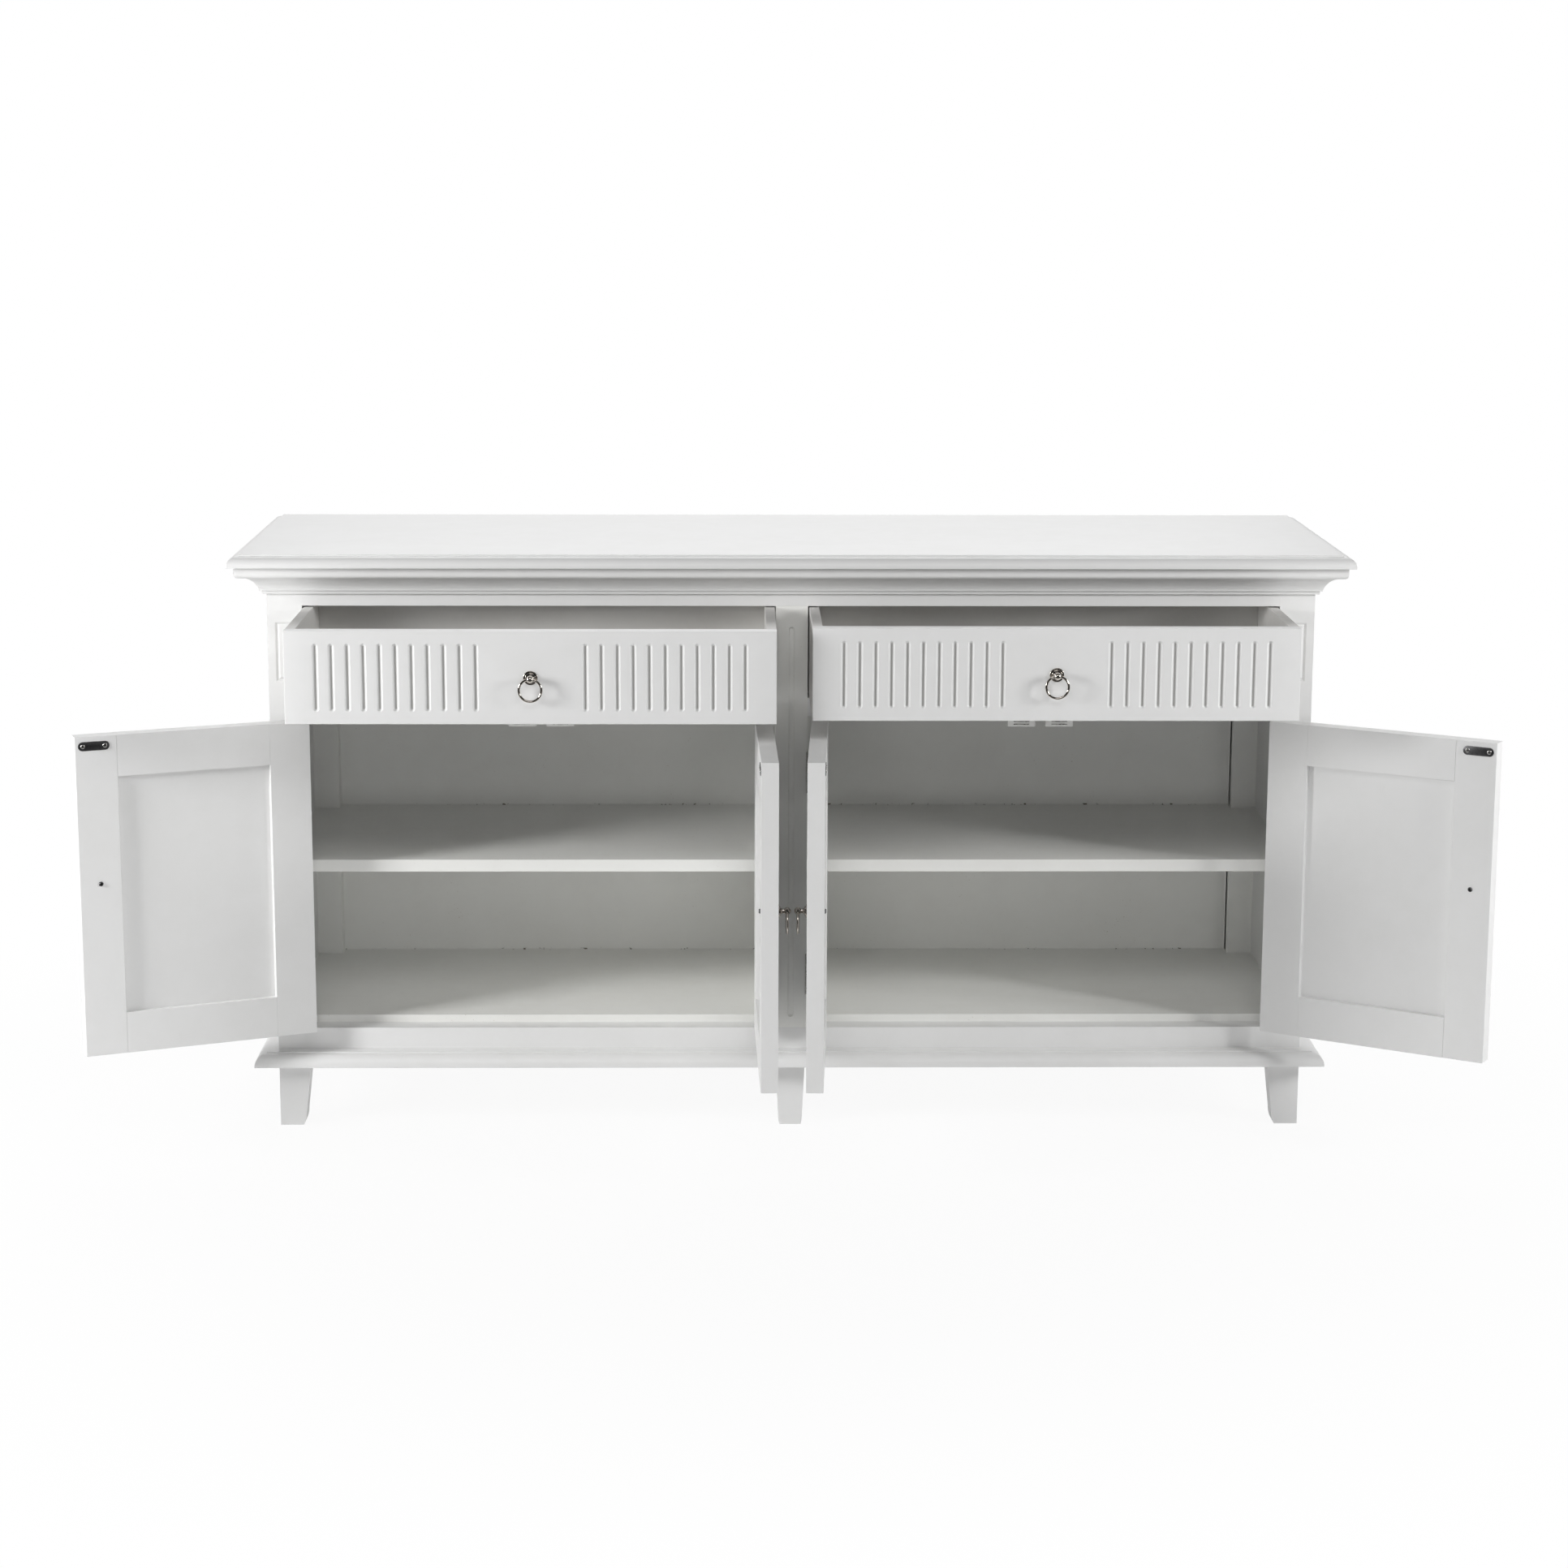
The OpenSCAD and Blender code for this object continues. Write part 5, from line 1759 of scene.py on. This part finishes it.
    def build(self, node: str, body: str) -> bpy.types.Object:
        """Builds the front in its place.

        Args:
            node: The node that it replaces.
            body: Its body.

        Returns:
            The piece.
        """
        low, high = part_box(node)
        width, height = high.x - low.x, high.z - low.z
        holder = holder_of(self.board(width, height), node + "_board")
        sizes = (width, height, self.arris, self.end, self.pitch, self.radius, self.depth, self.margin,
                 self.soft, float(self.flutes))
        self.tree.put_on(holder, Finish.FLUTED, dict(zip(FluteTree.NAMES, sizes)))
        cutter = holder_of(self.cutters(width, height), node + "_cutters")
        cut = holder.modifiers.new("sockets", "BOOLEAN")
        cut.operation = "DIFFERENCE"
        cut.solver = "EXACT"
        cut.use_self = False
        cut.object = cutter
        mesh = evaluated(holder)
        bpy.data.objects.remove(cutter)
        mesh.transform(Matrix.Translation(low))
        return self.shop.piece(mesh, node + "_fluted", Finish.FLUTED, body, [node], smooth=34.0)


@dataclass
class Drawer:
    """A drawer: fluted front, two sides, back and bottom, with its ring pull.

    PINS gives the places of the bottom's pins as shares of its width.
    """

    shop: Workshop
    timber: EasedTimber
    name: str

    ARRISES = (("sides", 1.0 * MM), ("back", 0.9 * MM), ("bottom", 0.3 * MM))
    PINS = (0.1, 0.37, 0.63, 0.9)
    PIN_INSET = 7 * MM
    PIN_SEED = 20

    def build(self, tree: FluteTree, fasteners: FastenerTree, seed: int) -> None:
        """Builds the drawer.

        Args:
            tree: The tree that presses flutes.
            fasteners: The tree that sets heads.
            seed: Seed of the bolt's turn.
        """
        front = DrawerFront(self.shop, tree)
        front.build(self.name + "_front", self.name)
        for part, arris in self.ARRISES:
            self.timber.build(f"{self.name}_{part}", self.name, Finish.LINING, arris)
        low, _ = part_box(self.name + "_front")
        ball = Vector(joint_of(self.name + "_ring_swing")["pos_m"])
        place = Matrix.Translation((ball.x, low.y, ball.z))
        RingPull(self.shop).build(place, front.thick, self.name, self.name, fasteners, seed)
        low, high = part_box(self.name + "_bottom")
        pin = Fastener(radius=1.6 * MM, dome=0.3 * MM, finish=Finish.STEEL, recess=0.5, arm=0.15, deep=0.3,
                       sides=12)
        spots = [(Vector((low.x + (high.x - low.x) * t, high.y - self.PIN_INSET, low.z)), Vector((0, 0, -1)))
                 for t in self.PINS]
        fasteners.set(self.shop, pin, spots, self.name + "_bottom_pins", self.name, seed + self.PIN_SEED)


# Carcass

@dataclass
class Carcass:
    """The standing part: posts, stile, rails, panels, boards, mouldings, catches.

    TIMBERS gives each board's finish and arris in millimetres.
    """

    shop: Workshop
    timber: EasedTimber

    TIMBERS = (
        (Finish.PAINT, (("front_posts", 0.5), ("centre_foot", 0.5), ("front_rails", 0.4),
                        ("drawer_rails", 0.5), ("carcass_rails", 0.4))),
        # Back posts and centre stile in the lighter interior paint, which is partly painted light.
        (Finish.WITHIN, (("back_posts", 0.5), ("centre_stile", 0.5))),
        (Finish.PANEL, (("side_panels", 0.3),)),
        (Finish.INSIDE, (("back_panel", 0.3), ("partition", 0.3), ("floor_boards", 0.6), ("shelves", 0.8),
                         ("shelf_cleats", 0.8), ("drawer_runners", 0.8))))
    POST = 50 * MM
    BEAD = 1.0 * MM
    DOWN = Vector((0, 0, -1))
    OUT = Vector((0, 1, 0))
    CATCH_SEED = 3
    PANEL_SEED = 5

    def build(self, fasteners: FastenerTree, beads: BeadTree) -> None:
        """Builds the carcass.

        Args:
            fasteners: The tree that sets heads.
            beads: The tree that runs beads of filler.
        """
        for finish, timbers in self.TIMBERS:
            for node, arris in timbers:
                self.timber.build(node, "carcass", finish, arris * MM)
        TopBoard(self.shop).build()
        MouldingRun(self.shop, "cornice_moulding", cornice_section(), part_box("cornice_moulding")[0].z).build()
        MouldingRun(self.shop, "base_moulding", base_section(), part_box("base_moulding")[0].z).build()
        self.catches(fasteners)
        self.back_pins(fasteners)
        self.seams(beads)

    def seams(self, beads: BeadTree) -> None:
        """Runs filler along the seams inside: round the floors and the shelves, and up the posts.

        Args:
            beads: The tree that runs beads.
        """
        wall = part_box("back_panel")[0].y
        half_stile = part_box("centre_stile")[1].x
        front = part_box("centre_stile")[1].y
        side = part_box("side_panels")[1].x - 6 * MM
        low_post, high_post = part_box("back_posts")
        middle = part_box("partition")[1].x
        post = side - (self.POST - (high_post.x - side))
        floor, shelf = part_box("floor_boards")[1].z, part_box("shelves")[1].z
        shelf_low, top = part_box("shelves")[0].z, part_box("drawer_rails")[0].z
        paths = []
        for s in (-1, 1):
            for z in (floor, shelf):
                paths.append([(s * x, y, z) for x, y in (
                    (middle, front), (middle, low_post.y), (half_stile, low_post.y), (half_stile, wall),
                    (post, wall), (post, low_post.y), (side, low_post.y), (side, front))])
            for low, high in ((floor, shelf_low), (shelf, top)):
                for x, y in ((half_stile, wall), (post, wall), (side, low_post.y)):
                    paths.append([(s * x, y, low), (s * x, y, high)])
        beads.run(self.shop, paths, self.BEAD, Finish.INSIDE, "seam_filler", "carcass")

    def catches(self, fasteners: FastenerTree) -> None:
        """Builds the magnet catches: a case, two steel poles and two screws each.

        Args:
            fasteners: The tree that sets heads.
        """
        bm = bmesh.new()
        bm.from_mesh(frame["nodes"]["magnet_catches"].data)
        bmesh.ops.remove_doubles(bm, verts=bm.verts[:], dist=MERGE)
        boxes = []
        bm.faces.index_update()
        for group in islands_of(bm):
            points = [v.co for face in group for v in face.verts]
            boxes.append([Vector(pick(p[i] for p in points) for i in range(3)) for pick in (min, max)])
        bm.free()
        cases, poles, spots = [], [], []
        for low, high in boxes:
            cases.append(eased_box((low.x, low.y + 0.6 * MM, low.z), high, 0.8 * MM))
            start, end, tip = low.x + 8.5 * MM, high.x - 8.5 * MM, low.y + 6 * MM
            for z in (low.z + 3 * MM, low.z + 7 * MM):
                poles.append(eased_box((start, low.y, z), (end, tip, z + 1.2 * MM), 0.2 * MM))
            spots += [(Vector((x, (low.y + high.y) / 2 + 2 * MM, low.z - 0.1 * MM)), self.DOWN)
                      for x in (low.x + 4 * MM, high.x - 4 * MM)]
        self.shop.piece(joined(cases), "catch_cases", Finish.CASE, "carcass", ["magnet_catches"], smooth=35.0)
        self.shop.piece(joined(poles), "catch_poles", Finish.STEEL, "carcass", smooth=35.0)
        screw = Fastener(radius=2.4 * MM, dome=0.5 * MM, finish=Finish.STEEL)
        fasteners.set(self.shop, screw, spots, "catch_screws", "carcass", self.CATCH_SEED)

    def back_pins(self, fasteners: FastenerTree) -> None:
        """Sets the panel pins round the back panel.

        Args:
            fasteners: The tree that sets heads.
        """
        low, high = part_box("back_panel")
        inset, spacing = 6 * MM, 110 * MM
        (left, right), (lower, upper) = ((low[i] + inset, high[i] - inset) for i in (0, 2))
        along = evenly(left, right, round((right - left) / spacing))
        up = evenly(lower, upper, round((upper - lower) / spacing))[1:-1]
        places = [(x, high.y, z) for z in (lower, upper) for x in along]
        places += [(x, high.y, z) for x in (left, 0.0, right) for z in up]
        pin = Fastener(radius=1.5 * MM, dome=0.25 * MM, finish=Finish.STEEL, recess=0.45, arm=0.15, deep=0.25,
                       sides=12)
        spots = [(Vector(place), self.OUT) for place in places]
        fasteners.set(self.shop, pin, spots, "back_panel_pins", "carcass", self.PANEL_SEED)


# Studio

@dataclass(frozen=True)
class SoftBox:
    """A rectangular lamp that looks at the object's middle."""

    name: str
    place: tuple[float, float, float]
    size: tuple[float, float]
    power: float
    mirrored: bool = True

    TARGET = Vector((0.0, 0.1, 0.45))

    def build(self) -> None:
        """Hangs the lamp."""
        lamp = bpy.data.lights.new(self.name, "AREA")
        lamp.shape = "RECTANGLE"
        lamp.size, lamp.size_y = self.size
        lamp.energy = self.power
        holder = linked(self.name, lamp)
        holder.visible_glossy = self.mirrored
        holder.location = self.place
        holder.rotation_euler = (self.TARGET - Vector(self.place)).to_track_quat("-Z", "Y").to_euler()


@dataclass
class Studio:
    """The plain white studio: floor, lamps, surroundings and the camera of the photograph.

    The lamps are two upright soft boxes far round to the sides, one behind and above, one high in front and
    a low fill, which stays out of reflections so that the metal keeps its dark edges.
    """

    image: int = 1932
    focal_px: float = 4060.04
    centre_px: float = 951.85
    pitch: float = 11.402
    yaw: float = -0.813
    roll: float = -0.159
    eye: tuple[float, float, float] = (-0.09335, -4.68466, 1.45441)
    paper_front: float = -1.6
    mirrored_front: float = -0.45
    fade: float = 0.3
    glow_near: float = 0.93
    floor_reach: float = 30.0
    sensor: float = 36.0

    PALE = (0.90, 0.90, 0.90)
    FLECKED = (0.88, 0.88, 0.88)
    DARK_ROOM = (0.05, 0.05, 0.05)
    LAMPS = (SoftBox("left_soft_box", (-2.5, -1.15, 1.2), (0.6, 0.7), 43.0),
             SoftBox("right_soft_box", (2.5, -1.15, 1.36), (0.6, 0.7), 32.0),
             SoftBox("back_soft_box", (0.0, 2.4, 2.3), (2.6, 1.0), 46.5),
             SoftBox("front_soft_box", (0.0, -3.0, 3.0), (2.4, 1.2), 27.0),
             SoftBox("low_fill", (0.0, -4.4, 0.4), (1.7, 0.7), 20.5, mirrored=False))

    def build(self) -> None:
        """Sets the whole studio up."""
        self.floor()
        self.surroundings()
        self.lamps()
        self.camera()
        bpy.context.scene.view_settings.view_transform = "Standard"

    def floor(self) -> None:
        """Lays the pale floor, which is nearly white in the picture and keeps a soft shadow."""
        bm = bmesh.new()
        signs = ((-1, -1), (1, -1), (1, 1), (-1, 1))
        bm.faces.new([bm.verts.new((x * self.floor_reach, y * self.floor_reach, 0.0)) for x, y in signs])
        floor = holder_of(bm, "studio_floor")
        material, graph, shader = blank_material("studio_floor_paper")
        place = graph.node("ShaderNodeTexCoord").out("Object")
        split = graph.node("ShaderNodeSeparateXYZ", None, {0: place})
        x, y = split.out(0), split.out(1)
        fleck = noise(graph, place, scale=600.0, detail=2.0, rough=0.5)
        path = graph.node("ShaderNodeLightPath")
        glossy = path.out("Is Glossy Ray")
        mirrored = y.ramp(self.mirrored_front - self.fade, self.mirrored_front)
        laid = y.ramp(self.paper_front - self.fade, self.paper_front)
        paper = laid * (1.0 - glossy * (1.0 - mirrored))
        pale = blend_colour(graph, fleck, self.PALE, self.FLECKED)
        link(graph, shader, "Base Color", blend_colour(graph, paper, self.DARK_ROOM, pale))
        link(graph, shader, "Roughness", 0.85 + 0.1 * fleck)
        glow = graph.node("ShaderNodeEmission", None, {"Color": (1, 1, 1, 1), "Strength": 1.0})
        seen = path.out("Is Camera Ray").greater(glossy * mirrored)
        far = (x * x + y * y).root().ramp(0.6, 1.8)
        share = seen * (self.glow_near + (1.0 - self.glow_near) * far)
        mix = graph.node("ShaderNodeMixShader", None, {0: share, 1: shader, 2: glow})
        output = graph.tree.nodes["Material Output"]
        graph.tree.links.new(mix.out().socket, output.inputs["Surface"])
        floor.data.materials.append(material)

    def surroundings(self) -> None:
        """White surroundings for the camera; for the metal, a room that is pale behind and dark in front."""
        world = bpy.data.worlds.new("studio")
        bpy.context.scene.world = world
        world.use_nodes = True
        graph = Graph(world.node_tree)
        graph.tree.nodes.clear()
        ray = graph.node("ShaderNodeTexCoord").out("Generated")
        split = graph.node("ShaderNodeSeparateXYZ", None, {0: ray})
        path = graph.node("ShaderNodeLightPath")
        behind = split.out(1).ramp(0.0, 0.4)
        room = behind * 0.96 + 0.04
        camera = path.out("Is Camera Ray")
        glossy = path.out("Is Glossy Ray")
        strength = camera + (1.0 - camera) * glossy * room
        light = graph.node("ShaderNodeBackground", None, {"Color": (1, 1, 1, 1), "Strength": strength})
        graph.node("ShaderNodeOutputWorld", None, {"Surface": light})

    def lamps(self) -> None:
        """Hangs the lamps."""
        for lamp in self.LAMPS:
            lamp.build()

    def camera(self) -> None:
        """Puts the camera where the photograph was taken from."""
        lens = bpy.data.cameras.new("photo_camera")
        lens.sensor_width = self.sensor
        lens.lens = self.focal_px / self.image * lens.sensor_width
        lens.shift_x = (self.image / 2 - self.centre_px) / self.image
        turn = Matrix.Identity(3)
        for angle, axis in ((self.yaw, "Z"), (-self.pitch, "X"), (self.roll, "Y")):
            turn = turn @ Matrix.Rotation(math.radians(angle), 3, axis)
        look = Matrix((turn.col[0], turn.col[2], -turn.col[1])).transposed()
        camera = linked("photo_camera", lens)
        camera.matrix_world = Matrix.Translation(self.eye) @ look.to_4x4()
        bpy.context.scene.camera = camera


# Main

def main() -> None:
    """Builds the studio and every piece in order."""
    logging.basicConfig(level=logging.INFO, format="%(name)s: %(message)s")
    Studio().build()
    shop = Workshop()
    timber = EasedTimber(shop)
    fasteners = FastenerTree()
    flutes = FluteTree()
    Carcass(shop, timber).build(fasteners, BeadTree())
    for seed, name in enumerate(DOORS):
        Door(shop, timber, name).build(fasteners, seed)
    for seed, name in enumerate(DRAWERS, len(DOORS)):
        Drawer(shop, timber, name).build(flutes, fasteners, seed)
    log.info("%d pieces", shop.count)


if __name__ == "__main__":
    main()
